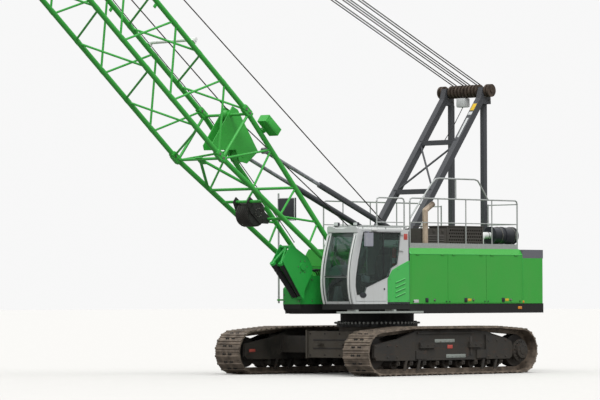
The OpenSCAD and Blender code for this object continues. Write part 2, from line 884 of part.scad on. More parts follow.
// Green panel behind the door, with four slanted louvres
panel_t = 12;
module cab_panel() {
    color(green)
        union() {
            side_plate(cab_out + seat, cab_out + panel_t, [
                [1508, cab_low + 45], [1505, 2270], [1445, 2345], [1350, 2480], [1150, 2565],
                [813, 2688], [cab_rear + 5, 2700], [cab_rear + 5, cab_low + 45]
            ]);
            for (k = [0 : 3]) {
                z = 1835 + k * 112;
                side_plate(cab_out + panel_t - 1, cab_out + panel_t + 14, [
                    [1240, z], [1240, z + 26], [900, z + 126], [900, z + 100]
                ]);
            }
        }
}

// Step along the cab's outer side, on two hangers under the deck's arm
step_hung = deck_high - 130 - seat;
module cab_step() {
    color("#b9bcc0")
        union() {
            difference() {
                translate([510, cab_out + 20, step_hung - 85])
                    cube([2790, 230, 45]);
                for (k = [0 : 17])
                    translate([560 + k * 150, cab_out + 60, step_hung - 60])
                        cube([120, 150, 30]);
            }
            for (x = [1280, 2600])
                translate([x - 35, cab_out - 260, step_hung - 60])
                    cube([70, 300, 60]);
        }
}

// Low rail round the cab's roof and a tall loop at its rear end
module cab_rail() {
    z = cab_high + 65;
    color("#c9ccce")
        union() {
            for (y = [cab_in + 60, cab_out - 60]) {
                bar([2420, y, z], [cab_rear + 30, y, z], 16, 24);
                for (x = [2300, 1500, cab_rear + 90])
                    bar([x, y, cab_high], [x, y, z], 12, 24);
            }
            for (x = [2400, cab_rear + 50])
                bar([x, cab_in + 60, z], [x, cab_out - 60, z], 12, 24);
            rail_loop(cab_rear + 10, 1715, cab_out - 150, cab_high, 4190);
            bar([cab_rear + 10, cab_out - 150, 3612], [1715, cab_out - 150, 3612], 12, 24);
        }
}

// Mirror on the door's upper front corner
module cab_mirror() {
    z = cab_high - 64;
    color("#8d9196")
        union() {
            bar([2300, cab_out + seat, z], [2300, cab_out + 122, z], 10, 24);
            bar([2300, cab_out + 110, z], [2300, cab_out + 110, z - 50], 8, 24);
            translate([2170, cab_out + 90, z - 345])
                cube([250, 60, 320]);
        }
}

module cab_seat() {
    color("#2b2d30")
        union() {
            translate([1250, 1000, cab_low + cab_wall])
                cube([300, 300, 350]);
            translate([1150, 950, cab_low + cab_wall + 350])
                cube([520, 480, 120]);
            translate([1080, 950, cab_low + cab_wall + 400])
                rotate([0, -8, 0])
                    translate([0, 12, 0])
                        cube([120, 456, 700]);
            translate([1750, 820, cab_low + cab_wall])
                cube([500, 110, 620]);
        }
}

// Axis of the door's hinge
door_hinge_x = 985;
module cab_door() {
    color("#e8eaea")
        union() {
            difference() {
                side_plate(cab_out - door_t, cab_out, inset(door_outline, clear));
                side_plate(cab_out - door_t - 1, cab_out + 1, door_window);
            }
            // Knuckles on short leaves, on the hinge axis behind the door
            for (z = [2950, 3330]) {
                translate([door_hinge_x, cab_out + 24, z - 35])
                    cylinder(h = 70, r = 10, $fn = 24);
                translate([door_hinge_x, cab_out + 15, z - 12])
                    cube([z > 3000 ? 68 : 124, 14, 24]);
                translate([door_hinge_x + (z > 3000 ? 48 : 107), cab_out - 2, z - 12])
                    cube([17, 20, 24]);
            }
        }
}
module cab_door_glass() {
    color("#9fb8b4", 0.4)
        side_plate(cab_out - 25, cab_out - 15, inset(door_window, seat));
}

// Tank ahead of the right side of the house, with a mirror on a tall pole
tank_front = 1450;
pole_at = [1620, -house_half - 40];
pole_high = 4360;
module front_tank() {
    color(green)
        union() {
            translate([house_front + 20, -house_half, deck_high])
                cube([tank_front - house_front - 20, house_half - 850, 900]);
            translate([tank_front - 60, -house_half - 70, 1760])
                cube([260, 80, 40]);
            translate([pole_at.x, pole_at.y, 1799])
                cylinder(h = pole_high - 1799, r = 20, $fn = 24);
            translate([pole_at.x - 30, pole_at.y, 3700])
                cube([50, 560, 540]);
        }
}

// Rope guide on the left of the nose: two side plates with two long rollers between them
fair_left = [105, 125];
fair_right = [440, 460];
roller_ends = [[[3715, 360, 2610], [3100, 360, 1900]], [[3830, 200, 2615], [3110, 200, 1865]]];
function roller_way(e) = (e[0] - e[1]) / norm(e[0] - e[1]);
module nose_fairlead() {
    color(green)
        union() {
            for (y = [fair_left, fair_right])
                side_plate(y[0], y[1], [
                    [3790, 2690], [3190, 1900], [3110, 1800], [3050, 1815], [3045, 1995],
                    [2790, 2390], [2765, 2545], [2925, 2780], [3500, 3085]
                ]);
            // Boss and its bracket on the nose's left wall
            cross_bar(3110, 2560, fair_left[0] - 30, fair_right[1] + 30, 85, 48);
            side_plate(nose_half - 38, nose_half - 2, [
                [2950.2, 2089.8], [2700.2, 2287.1], [2740, 2420], [3050, 2640], [3180, 2620], [3150, 2480]
            ]);
            for (at = [[3480, 3020, 38], [2890, 2640, 35], [3085, 1835, 30]])
                cross_bar(at.x, at.y, fair_left[1] - 1, fair_right[0] + 1, at.z, 32);
            // Heads and feet of the rollers, and arms to the heads
            for (e = roller_ends) {
                up = roller_way(e);
                bar(e[0] + 0.3 * up, e[0] + 60 * up, 66, 32);
                bar(e[1] - 50 * up, e[1] - 0.3 * up, 48, 32);
                bar(e[0] + 42 * up, [3480, 290, 3020], 28, 24);
            }
        }
}

module fairlead_rollers() {
    color("#202020")
        for (e = roller_ends) {
            d = e[1] - e[0];
            union() {
                bar(e[0], e[1], 58, 32);
                for (k = [0 : 8])
                    bar(e[0] + d * (0.02 + k * 0.11), e[0] + d * (0.08 + k * 0.11), 64, 32);
            }
        }
}

// A-frame
apex = [apex_x, 0, apex_z];
axle_r = 55;
rear_leg_x = -3370;
rear_leg_y = 530;
rear_leg_top = 6620;
stop_pin_r = 40;
function off(p, y) = [p.x, y, p.z];
module gantry_front() {
    foot = [gantry_foot_x, 0, gantry_foot_z - 60];
    at = function (z) [apex_x + (apex_z - z) * (gantry_foot_x - apex_x) / (apex_z - gantry_foot_z), 0, z];
    color(steel_grey)
        union() {
            both_sides()
                difference() {
                    union() {
                        box_bar(off(foot, gantry_y), off(apex, gantry_y), leg_w, leg_w);
                        side_plate(gantry_y - leg_w / 2 + 3, gantry_y + leg_w / 2 - 3, [
                            [rear_leg_x - 110, rear_leg_top], [rear_leg_x + 330, rear_leg_top],
                            [apex_x + 150, apex_z + 90], [apex_x - 130, apex_z + 90]
                        ]);
                        side_plate(gantry_y - leg_w / 2 - 15, gantry_y - leg_w / 2 + 12, [
                            [stop_foot.x - 330, stop_foot.z + 120], [stop_foot.x + 90, stop_foot.z + 80],
                            [stop_foot.x + 90, stop_foot.z - 80], [stop_foot.x - 100, stop_foot.z - 130]
                        ]);
                    }
                    cross_bar(apex_x, apex_z, gantry_y - leg_w, gantry_y + leg_w, axle_r + seat, 48);
                }
            both_sides()
                cross_bar(stop_foot.x, stop_foot.z, stop_y - 70, gantry_y - leg_w / 2, stop_pin_r, 48);
            for (z = [4420, 5650])
                box_bar(off(at(z), -gantry_y), off(at(z), gantry_y), 120, 120);
            bar(off(at(4450), -gantry_y), off(at(5620), gantry_y), 25, 12);
            bar(off(at(4450), gantry_y), off(at(5620), -gantry_y), 25, 12);
        }
}

module gantry_rear() {
    color(steel_grey)
        both_sides()
            box_bar([rear_leg_x, rear_leg_y, roof_high], [rear_leg_x, rear_leg_y, rear_leg_top], 120, 120);
}

module gantry_sheaves() {
    color("#2f3033")
        union() {
            cross_bar(apex_x, apex_z, -860, 860, axle_r, 48);
            for (y = [-480 : 110 : 430])
                cross_bar(apex_x, apex_z, y, y + 60, apex_sheave_r, 48);
            for (y = [-830, -740, 690, 780])
                cross_bar(apex_x, apex_z, y, y + 50, apex_sheave_r, 48);
        }
}

// Winches in the well
drum_z = 2250;
module drum(x, half, r) {
    union() {
        cross_bar(x, drum_z, -half, half, r * 0.72, 64);
        for (y = [-half, half - 30])
            cross_bar(x, drum_z, y, y + 30, r, 64);
        cross_bar(x, drum_z, -well_half + seat, well_half - seat, 70, 32);
    }
}
module front_drum() {
    color(steel_grey)
        drum(-420, 430, 400);
}
module rear_drum() {
    color(steel_grey)
        drum(-1400, 430, 400);
}

// Boom: local X runs up the boom from the foot pin, local Z is its upper side.
module on_boom() {
    translate([foot_x, 0, foot_z])
        rotate([0, -boom_deg, 0])
            children();
}

insert_1_len = insert_lens[0];
insert_2_len = insert_lens[1];
joint_1 = base_len;
joint_2 = joint_1 + insert_1_len;
joint_3 = joint_2 + insert_2_len;
boom_len = joint_3 + head_len;
joint_gap = seat;

// Lacing of a straight section between two joints, in equal bays
module lattice(s0, s1, bays) {
    step = (s1 - s0) / bays;
    union() {
        for (y = [-chord_y, chord_y])
            for (z = [-chord_z, chord_z])
                bar([s0 + 60, y, z], [s1 - 60, y, z], chord_r, 24);
        for (y = [-chord_y, chord_y])
            for (k = [0 : bays - 1]) {
                flip = (k % 2 == 0 ? 1 : -1) * sign(y);
                bar([s0 + k * step + 60, y, -flip * chord_z],
                    [s0 + (k + 1) * step - 60, y, flip * chord_z], lace_r, 8);
            }
        for (z = [-chord_z, chord_z])
            for (k = [0 : bays - 1]) {
                flip = (k % 2 == 0 ? -1 : 1) * sign(z);
                bar([s0 + k * step + 60, -flip * chord_y, z],
                    [s0 + (k + 1) * step - 60, flip * chord_y, z], lace_r, 8);
            }
        for (s = [s0, s1])
            joint_lugs(s, s == s0 ? 1 : -1);
    }
}

// Pin lugs at the four corners of a section's end
lug_len = 120;
module joint_lugs(s, way) {
    for (y = [-chord_y, chord_y])
        for (z = [-chord_z, chord_z])
            translate([way > 0 ? s + joint_gap / 2 : s - lug_len - joint_gap / 2, y - 50, z - 85])
                cube([lug_len, 100, 170]);
}

function base_up(s) = 20 + (chord_z - 20) * s / base_len;
function base_down(s) = -140 - (chord_z - 140) * s / base_len;
function base_y(s) = foot_y + (chord_y - foot_y) * s / base_len;
base_bar_r = 34;
base_up_nodes = [2300, 3400, 4600];
base_down_nodes = [2200, 3400, 4500];
module boom_base() {
    color(green)
        on_boom()
            union() {
                both_sides()
                    base_side();
                for (s = [base_up_nodes[1], base_len - 90])
                    cross_bar(s, base_up(s), -base_y(s), base_y(s), base_bar_r, 32);
                for (s = concat(winch_bars, [base_down_nodes[2], base_len - 90]))
                    cross_bar(s, base_down(s), -base_y(s), base_y(s), base_bar_r, 32);
                // Flat box on the left upper chord, on a short foot
                translate([4880, chord_y + 20, base_up(5130) + 110])
                    cube([520, 280, 190]);
                translate([5080, chord_y - 30, base_up(5130) + 30])
                    cube([100, 120, 81]);
                // Gusset of the braces under the section's upper end
                translate([base_len - 260, -110, base_down(base_len - 90) - 12])
                    cube([230, 220, 24]);
            }
}

module base_side() {
    difference() {
        union() {
            bar([150, foot_y, 0], [base_len - 60, chord_y, base_up(base_len - 60)], chord_r, 24);
            bar([150, foot_y, -80], [base_len - 60, chord_y, base_down(base_len - 60)], chord_r, 24);
            translate([0, foot_y - 60, 0])
                rotate([-90, 0, 0])
                    cylinder(h = 120, r = 130, $fn = 48);
            translate([0, foot_y - 60, -125])
                cube([520, 120, 210]);
            for (z = [-chord_z, chord_z])
                translate([base_len - lug_len - joint_gap / 2, chord_y - 50, z - 85])
                    cube([lug_len, 100, 170]);
            for (k = [0 : 2])
                base_brace(base_down_nodes[k], base_up_nodes[k]);
            for (k = [0 : 1])
                base_brace(base_down_nodes[k + 1], base_up_nodes[k]);
            base_brace(base_len - 100, base_up_nodes[2]);
            // Upright and floor brace at the section's upper end
            bar([base_len - 90, base_y(base_len), base_down(base_len - 90)],
                [base_len - 90, base_y(base_len), base_up(base_len - 90)], base_bar_r, 16);
            bar([base_len - 150, 40, base_down(base_len - 150)],
                [base_down_nodes[2] + 60, base_y(base_down_nodes[2]), base_down(base_down_nodes[2])],
                base_bar_r, 16);
        }
        translate([0, foot_y - 61, 0])
            rotate([-90, 0, 0])
                cylinder(h = 122, r = foot_pin_r + 0.3, $fn = 48);
    }
}

module base_brace(low, up) {
    bar([low, base_y(low), base_down(low)], [up, base_y(up), base_up(up)], lace_r, 8);
}

module boom_insert_1() {
    color(green)
        on_boom()
            lattice(joint_1, joint_2, 6);
}
module boom_insert_2() {
    color(green)
        on_boom()
            lattice(joint_2, joint_3, 3);
}

head_y = 300;
head_z = 260;
head_end = boom_len - 500;
function head_half(s, from, to) = from + (to - from) * (s - joint_3) / (head_end - joint_3);
head_bays = 6;
module boom_head() {
    step = (head_end - joint_3 - 120) / head_bays;
    color(green)
        on_boom()
            union() {
                both_sides() {
                    bar([joint_3 + 60, chord_y, chord_z], [head_end, head_y, head_z], chord_r, 24);
                    bar([joint_3 + 60, chord_y, -chord_z], [head_end, head_y, -head_z], chord_r, 24);
                    for (k = [0 : head_bays - 1])
                        head_brace(joint_3 + 60 + k * step, joint_3 + 60 + (k + 1) * step,
                            k % 2 == 0 ? 1 : -1);
                    head_plate();
                }
                for (k = [0 : head_bays - 1])
                    for (z = [-1, 1])
                        head_cross(joint_3 + 60 + k * step, joint_3 + 60 + (k + 1) * step,
                            k % 2 == 0 ? 1 : -1, z);
                joint_lugs(joint_3, 1);
                cross_bar(boom_len, 0, -head_y - 40, head_y + 40, 60, 48);
                cross_bar(boom_len - 620, head_z + 180, -stay_y - 40, stay_y + 40, stay_pin_r, 48);
            }
}
module head_brace(a, b, flip) {
    bar([a, head_half(a, chord_y, head_y), -flip * head_half(a, chord_z, head_z)],
        [b, head_half(b, chord_y, head_y), flip * head_half(b, chord_z, head_z)], lace_r, 8);
}
module head_cross(a, b, flip, z) {
    bar([a, -flip * head_half(a, chord_y, head_y), z * head_half(a, chord_z, head_z)],
        [b, flip * head_half(b, chord_y, head_y), z * head_half(b, chord_z, head_z)], lace_r, 8);
}
module head_plate() {
    side_plate(head_y - 15, head_y + 15, [
        [head_end - 250, -head_z - 80], [boom_len - 60, -110], [boom_len + 130, -60], [boom_len + 130, 110],
        [boom_len - 550, head_z + 300], [boom_len - 700, head_z + 300], [head_end - 250, head_z + 80]
    ]);
}

// Light tube across the upper chords
tube_s = 8100;
module boom_cross_tube() {
    color("#d6dbc7")
        on_boom()
            union() {
                cross_bar(tube_s, chord_z + chord_r + 82, -chord_y - 60, chord_y + 60, 42, 32);
                for (y = [-chord_y - 50, chord_y - 50])
                    translate([tube_s - 60, y, chord_z + chord_r + seat])
                        cube([120, 100, 60]);
            }
}

module head_sheaves() {
    color("#2f3033")
        on_boom()
            difference() {
                union() {
                    for (y = [-150, -50, 50])
                        cross_bar(boom_len, 0, y, y + 60, sheave_r, 64);
                    cross_bar(boom_len, 0, -head_y + 30, head_y - 30, 110, 48);
                }
                cross_bar(boom_len, 0, -head_y, head_y, 60 + seat, 48);
            }
}

winch_s = 3650;
winch_t = -590;
winch_half = 210;
winch_bars = [3300, 4010];
module winch_plate(y) {
    difference() {
        side_plate(y, y + 30, [
            [winch_bars[0] - 70, -380], [winch_bars[1] + 80, -440], [winch_bars[1] + 80, -590],
            [winch_s + 200, winch_t - 120], [winch_s - 200, winch_t - 120], [winch_bars[0] - 70, -540]
        ]);
        for (s = winch_bars)
            cross_bar(s, base_down(s), y - 1, y + 31, base_bar_r + seat, 48);
    }
}
module boom_winch() {
    color("#2f3033")
        on_boom()
            union() {
                cross_bar(winch_s, winch_t, -winch_half, winch_half, 280, 48);
                for (y = [-winch_half - 30, winch_half])
                    winch_plate(y);
            }
}

// Upper and lower guide wheels of the inner rope, between two tall plates
guide_s = base_len - 1000;
guide_t = 220;
guide_y = 115;
module boom_guide_sheave() {
    top_t = base_up(base_len - 90);
    color(green)
        on_boom()
            difference() {
                union() {
                    for (y = [-guide_y - 25, guide_y])
                        side_plate(y, y + 25, [
                            [guide_s - 330, 620], [guide_s - 220, 160], [guide_s, 40], [guide_s + 260, 170],
                            [base_len - 160, -345], [base_len - 60, -280], [base_len - 20, 880],
                            [base_len - 200, 930]
                        ]);
                    cross_bar(guide_s, guide_t, -86, 86, 160, 48);
                    cross_bar(guide_s, guide_t, -guide_y - 35, guide_y + 35, 50, 32);
                    cross_bar(base_len - 90, top_t, -86, 86, 110, 48);
                    cross_bar(base_len - 90, top_t, -guide_y - 1, guide_y + 1, 70, 32);
                }
                cross_bar(base_len - 90, top_t, -guide_y - 40, guide_y + 40, base_bar_r + seat, 48);
            }
}

// Stays from the boom's head towards the A-frame
stay_start = [boom_len - 620, head_z + 180];
stay_len = 15300;
stay_from = [
    foot_x + stay_start[0] * cos(boom_deg) - stay_start[1] * sin(boom_deg), 0,
    foot_z + stay_start[0] * sin(boom_deg) + stay_start[1] * cos(boom_deg)
];
stay_aim = (apex - stay_from) / norm(apex - stay_from);
bridle_at = stay_from + stay_len * stay_aim;
stay_y = head_y + 80;
stay_pin_r = 45;
bridle_r = 50;
module stay_bars() {
    color(steel_grey)
        both_sides()
            difference() {
                union() {
                    bar(off(stay_from, stay_y), off(bridle_at, stay_y), 22, 12);
                    for (at = [stay_from, bridle_at])
                        cross_bar(at.x, at.z, stay_y - 25, stay_y + 25, 95, 48);
                }
                cross_bar(stay_from.x, stay_from.z, stay_y - 26, stay_y + 26, stay_pin_r + seat, 48);
                cross_bar(bridle_at.x, bridle_at.z, stay_y - 26, stay_y + 26, bridle_r + seat, 48);
            }
}
module stay_bridle() {
    color(steel_grey)
        union() {
            cross_bar(bridle_at.x, bridle_at.z, -700, 700, bridle_r, 48);
            for (y = [-300 : 100 : 300])
                cross_bar(bridle_at.x, bridle_at.z, y - 30, y + 30, apex_sheave_r, 48);
            for (y = [-580, -480, 480, 580])
                cross_bar(bridle_at.x, bridle_at.z, y - 30, y + 30, apex_sheave_r, 48);
        }
}

// Backstops from the A-frame to the boom
stop_y = 430;
stop_foot = [-330, 0, 3360];
stop_eye = [
    foot_x + 4560 * cos(boom_deg) - 560 * sin(boom_deg), 0,
    foot_z + 4560 * sin(boom_deg) + 560 * cos(boom_deg)
];
stop_aim = (stop_eye - stop_foot) / norm(stop_eye - stop_foot);
stop_tube_len = 3050;
module backstop_tube() {
    color(steel_grey)
        difference() {
            union() {
                bar(off(stop_foot + 60 * stop_aim, stop_y),
                    off(stop_foot + stop_tube_len * stop_aim, stop_y), 70, 48);
                cross_bar(stop_foot.x, stop_foot.z, stop_y - 60, stop_y + 60, 90, 48);
            }
            bar(off(stop_foot + 200 * stop_aim, stop_y),
                off(stop_foot + (stop_tube_len + 1) * stop_aim, stop_y), 45, 48);
            cross_bar(stop_foot.x, stop_foot.z, stop_y - 61, stop_y + 61, stop_pin_r + seat, 48);
        }
}
module backstop_rod() {
    color("#b9bcc0")
        union() {
            bar(off(stop_foot + 1900 * stop_aim, stop_y), off(stop_eye, stop_y), 45 - seat, 48);
            cross_bar(stop_eye.x, stop_eye.z, stop_y - 45, stop_y + 45, 75, 48);
        }
}

// Hook block on two ropes that leave the front of the head sheaves
head_at = [foot_x + boom_len * cos(boom_deg), 0, foot_z + boom_len * sin(boom_deg)];
fall_len = 4200;
fall_x = head_at.x + sheave_r + 13 + seat;
fall_y = [-120, 80];
block_z = head_at.z - fall_len;
socket_len = 260;
module hoist_falls() {
    color("#3a3a3a")
        for (y = fall_y)
            bar([fall_x, y, block_z + socket_len], [fall_x, y, head_at.z], 13, 12);
}
module hook_block() {
    color("#d8b020")
        union() {
            side_plate(-170, 130, [
                [fall_x - 130, block_z], [fall_x + 130, block_z], [fall_x + 190, block_z - 150],
                [fall_x + 190, block_z - 480], [fall_x + 90, block_z - 640], [fall_x - 90, block_z - 640],
                [fall_x - 190, block_z - 480], [fall_x - 190, block_z - 150]
            ]);
            for (y = fall_y)
                translate([fall_x, y, block_z - 1])
                    cylinder(h = socket_len + 1, r1 = 60, r2 = 32, $fn = 32);
        }
}
module hook() {
    color("#6a6d70")
        union() {
            translate([fall_x, -20, block_z - 850])
                cylinder(h = 210, r = 60, $fn = 32);
            translate([fall_x, -20, block_z - 980])
                rotate([90, 180, 0])
                    rotate_extrude(angle = 285, $fn = 48)
                        translate([130, 0])
                            circle(r = 50, $fn = 24);
        }
}

car_body();
slew_ring();
track_frame(1);  // left_track_frame
track_wheels();  // left_track_wheels
track_shoes();  // left_track_shoes
mirror([0, 1, 0]) track_frame(-1);  // right_track_frame
mirror([0, 1, 0]) track_wheels();  // right_track_wheels
mirror([0, 1, 0]) track_shoes();  // right_track_shoes
deck_frame();
house_shell();
engine();
counterweight();
weight_cap();
roof_hood();
exhaust_pipe();
air_filter();
filter_elbow();
guard_rails();
side_door(0);  // left_door_front
side_door(1);  // left_door_middle
side_door(2);  // left_door_rear
mirror([0, 1, 0]) side_door(0);  // right_door_front
mirror([0, 1, 0]) side_door(1);  // right_door_middle
mirror([0, 1, 0]) side_door(2);  // right_door_rear
cab_shell();
cab_glass();
cab_trims();
cab_panel();
cab_step();
cab_rail();
cab_mirror();
cab_seat();
cab_door();
cab_door_glass();
front_tank();
nose_box();
nose_fairlead();
fairlead_rollers();
gantry_front();
gantry_rear();
gantry_sheaves();
front_drum();
rear_drum();
boom_base();
boom_insert_1();
boom_insert_2();
boom_head();
boom_cross_tube();
boom_winch();
boom_guide_sheave();
head_sheaves();
stay_bars();
stay_bridle();
backstop_tube();  // left_backstop_tube
backstop_rod();  // left_backstop_rod
mirror([0, 1, 0]) backstop_tube();  // right_backstop_tube
mirror([0, 1, 0]) backstop_rod();  // right_backstop_rod
hoist_falls();
hook_block();
hook();
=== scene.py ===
"""Dresses the crawler crane: its finishes, its ropes and fittings, and the studio round it."""

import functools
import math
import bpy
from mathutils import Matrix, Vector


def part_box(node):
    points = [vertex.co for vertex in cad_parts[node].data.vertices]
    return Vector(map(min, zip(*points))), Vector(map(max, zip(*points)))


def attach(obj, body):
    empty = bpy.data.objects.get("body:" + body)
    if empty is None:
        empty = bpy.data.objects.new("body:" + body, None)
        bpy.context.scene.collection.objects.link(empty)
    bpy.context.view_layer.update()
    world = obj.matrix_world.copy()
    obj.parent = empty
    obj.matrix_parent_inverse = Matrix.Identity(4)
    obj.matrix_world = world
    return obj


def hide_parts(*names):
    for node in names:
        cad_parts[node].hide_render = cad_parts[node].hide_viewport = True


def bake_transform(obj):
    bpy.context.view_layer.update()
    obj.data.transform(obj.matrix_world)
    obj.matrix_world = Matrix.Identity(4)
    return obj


bl_info = {
    "name": "Crawler crane look",
    "version": (1, 0, 0),
    "blender": (4, 5, 0),
    "location": "View3D > Sidebar > Crane",
    "description": "Finishes, ropes and fittings of a lattice-boom crawler crane",
    "category": "Object",
}

import bmesh
import bpy
from mathutils import Matrix, Vector

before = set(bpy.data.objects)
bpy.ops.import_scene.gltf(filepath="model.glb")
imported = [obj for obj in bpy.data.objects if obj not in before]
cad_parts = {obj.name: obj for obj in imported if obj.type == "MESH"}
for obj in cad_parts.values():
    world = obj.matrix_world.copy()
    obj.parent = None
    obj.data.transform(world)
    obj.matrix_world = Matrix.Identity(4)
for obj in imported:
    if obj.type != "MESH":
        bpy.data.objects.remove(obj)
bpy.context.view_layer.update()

# Places that the CAD fixes, in metres. A pair is X and Z.
SIDES = (("left", 1), ("right", -1))
APEX = (-3.33, 6.95)
FRONT_WINCH, REAR_WINCH = (-0.42, 2.25), (-1.4, 2.25)
DRUM_RADIUS, DRUM_HALF = 0.288, 0.39
HEAD_SHEAVE, LUFFING_SHEAVE = 0.33, 0.16
HOUSE_FACE = 1.7
TRACK_MID, FRAME_FACE = 2.09, 2.371
SPROCKET = (-2.53, 0.545)
# The circles that the chain's outer line goes round, each as X, Z and radius.
TRACK_LOOP = ((-2.53, 0.547, 0.49), (2.545, 0.532, 0.475), (1.4, 0.795, 0.3), (-1.6, 0.795, 0.3))
SHOES = 72
SHOE_PLATE = 0.03
# The boom's own axes: s runs up it from the foot pin, t stands square above its centre line.
BOOM_ANGLE = math.radians(39.3)
FOOT_PIN = (1.2, 1.93)
BOOM_SPACE = Matrix.Translation((FOOT_PIN[0], 0, FOOT_PIN[1])) @ Matrix.Rotation(-BOOM_ANGLE, 4, "Y")
CHORD_Y, CHORD_T = 0.72, 0.685
CHORDS = [(y, t) for y in (-CHORD_Y, CHORD_Y) for t in (-CHORD_T, CHORD_T)]
# How far up the boom its base, its long insert and its short insert end.
SECTION_ENDS = (5.8, 11.8, 14.8)
BOOM_WINCH = (3.65, -0.59)
GUIDE_WHEEL, BRACKET_WHEEL, HEAD_AXLE = (5.71, 0.675), (20.4, 0.88), (22.0, 0)


# Shader and colour helpers

def linear(hex_colour):
    """Turns an sRGB hex value into linear RGBA."""
    parts = [int(hex_colour[i:i + 2], 16) / 255 for i in (0, 2, 4)]
    return [c / 12.92 if c <= 0.04045 else ((c + 0.055) / 1.055) ** 2.4 for c in parts] + [1.0]


def node(tree, kind, links=(), **settings):
    """Adds a shader node with its settings and its links, given as (input, output socket)."""
    made = tree.nodes.new(kind)
    for key, value in settings.items():
        if key.startswith("in_"):
            name = key[3:].replace("_", " ")
            made.inputs[name if name in made.inputs else int(key[3:])].default_value = value
        else:
            setattr(made, key, value)
    for name, source in links:
        tree.links.new(source, made.inputs[name])
    return made


class Skin:
    """A procedural material under construction, in the object's own coordinates."""

    def __init__(self, name, **sockets):
        self.made = bpy.data.materials.new(name)
        self.made.use_nodes = True
        self.tree = self.made.node_tree
        self.shader = self.tree.nodes["Principled BSDF"]
        for key, value in sockets.items():
            self.shader.inputs[key.replace("_", " ")].default_value = value
        self.place = node(self.tree, "ShaderNodeTexCoord").outputs["Object"]

    def feed(self, socket, value):
        """Gives a socket an output, a hex colour, a linear colour or a number."""
        if isinstance(value, bpy.types.NodeSocket):
            self.tree.links.new(value, socket)
        else:
            socket.default_value = linear(value) if isinstance(value, str) else value

    def speckle(self, size_mm, detail=4.0, stretch=(1, 1, 1)):
        """Noise whose blotches are about size_mm across; stretch lengthens them along an axis."""
        spread = node(self.tree, "ShaderNodeMapping", [("Vector", self.place)], vector_type="POINT")
        spread.inputs["Scale"].default_value = [1 / s for s in stretch]
        return node(self.tree, "ShaderNodeTexNoise", [("Vector", spread.outputs[0])],
                    in_Scale=1000.0 / size_mm, in_Detail=detail, in_Roughness=0.6).outputs["Fac"]

    def patches(self, low, high, *noise):
        """Speckle, with what lies between low and high spread from nought to one."""
        return node(self.tree, "ShaderNodeMapRange", [("Value", self.speckle(*noise))],
                    in_1=low, in_2=high).outputs[0]

    def fade(self, low_z, high_z, at_low, at_high):
        """A value that changes between two heights above the ground, as the object stands at rest."""
        lift = node(self.tree, "ShaderNodeSeparateXYZ", [(0, self.place)]).outputs["Z"]
        return node(self.tree, "ShaderNodeMapRange", [("Value", lift)],
                    in_1=low_z, in_2=high_z, in_3=at_low, in_4=at_high).outputs[0]

    def over(self, under, top, share, *shares):
        """Lays one colour over another, by the product of the shares. The first share is an output."""
        for other in shares:
            made = node(self.tree, "ShaderNodeMath", [(0, share)], operation="MULTIPLY")
            self.feed(made.inputs[1], other)
            share = made.outputs[0]
        made = node(self.tree, "ShaderNodeMix", [(0, share)], data_type="RGBA")
        self.feed(made.inputs[6], under)
        self.feed(made.inputs[7], top)
        return made.outputs[2]

    def coat(self, colour, film=None, smooth=0.0, rough=0.0):
        """Sets the colour, and a roughness that goes from smooth to rough where the film lies."""
        self.feed(self.shader.inputs["Base Color"], colour)
        if film:
            gloss = node(self.tree, "ShaderNodeMapRange", [("Value", film)], in_3=smooth, in_4=rough)
            self.feed(self.shader.inputs["Roughness"], gloss.outputs[0])
        return self.made

    def relief(self, height, depth_mm, strength=0.3, edge_mm=0.0):
        """Bumps the surface, over edges that are softened by edge_mm."""
        bump = node(self.tree, "ShaderNodeBump", [("Height", height)],
                    in_Strength=strength, in_Distance=depth_mm / 1000)
        if edge_mm:
            soft = node(self.tree, "ShaderNodeBevel", samples=4, in_Radius=edge_mm / 1000)
            self.feed(bump.inputs["Normal"], soft.outputs[0])
        self.feed(self.shader.inputs["Normal"], bump.outputs[0])
        return self.made


# Materials

PRIMER = "4a463f"
# A wave texture whose scale is this, divided by a width in mm, has light and dark bands about that wide.
BAND_SCALE = 1000.0 / 6.28


def enamel(name, base, dust, roughness=0.36, dusty=0.35, clear_z=4.0, chips=0.25, edge_mm=6.0):
    """Two-pack enamel, sprayed on steel plate: a smooth gloss with faint orange peel, dull streaks where rain
    has run down, dust that thins upwards, and small chips down to the primer."""
    skin = Skin(name, IOR=1.5)
    lift = skin.fade(1.2, clear_z, 1.0, 0.2)
    clouds, streaks = skin.patches(0.35, 0.7, 900), skin.patches(0.48, 0.72, 70, 3.0, (1, 1, 14))
    film = node(skin.tree, "ShaderNodeMath", [(0, clouds), (1, streaks)], operation="MAXIMUM").outputs[0]
    colour = skin.over(base, dust, film, lift, dusty)
    flecks, patch = skin.patches(0.70, 0.74, 28, 2.0), skin.patches(0.5, 0.62, 500, 2.0)
    skin.coat(skin.over(colour, PRIMER, flecks, patch, chips), film, roughness, roughness + 0.22)
    return skin.relief(skin.speckle(9, 2.0), 0.6, 0.12, edge_mm)


def crusted(name, base, mud, rust, muddy=0.7):
    """Chassis paint that works in the ground: dried earth caked in the lower half, rust bleeding from scrapes."""
    skin = Skin(name, IOR=1.5)
    lift = skin.fade(0.1, 1.1, 1.0, 0.25)
    cake, scrape = skin.patches(0.38, 0.62, 320, 6.0), skin.patches(0.58, 0.68, 60, 5.0, (3, 1, 1))
    colour = skin.over(base, rust, scrape, 0.55)
    skin.coat(skin.over(colour, mud, cake, lift, muddy), cake, 0.5, 0.82)
    return skin.relief(skin.speckle(22, 5.0), 4.0, 0.35, 5.0)


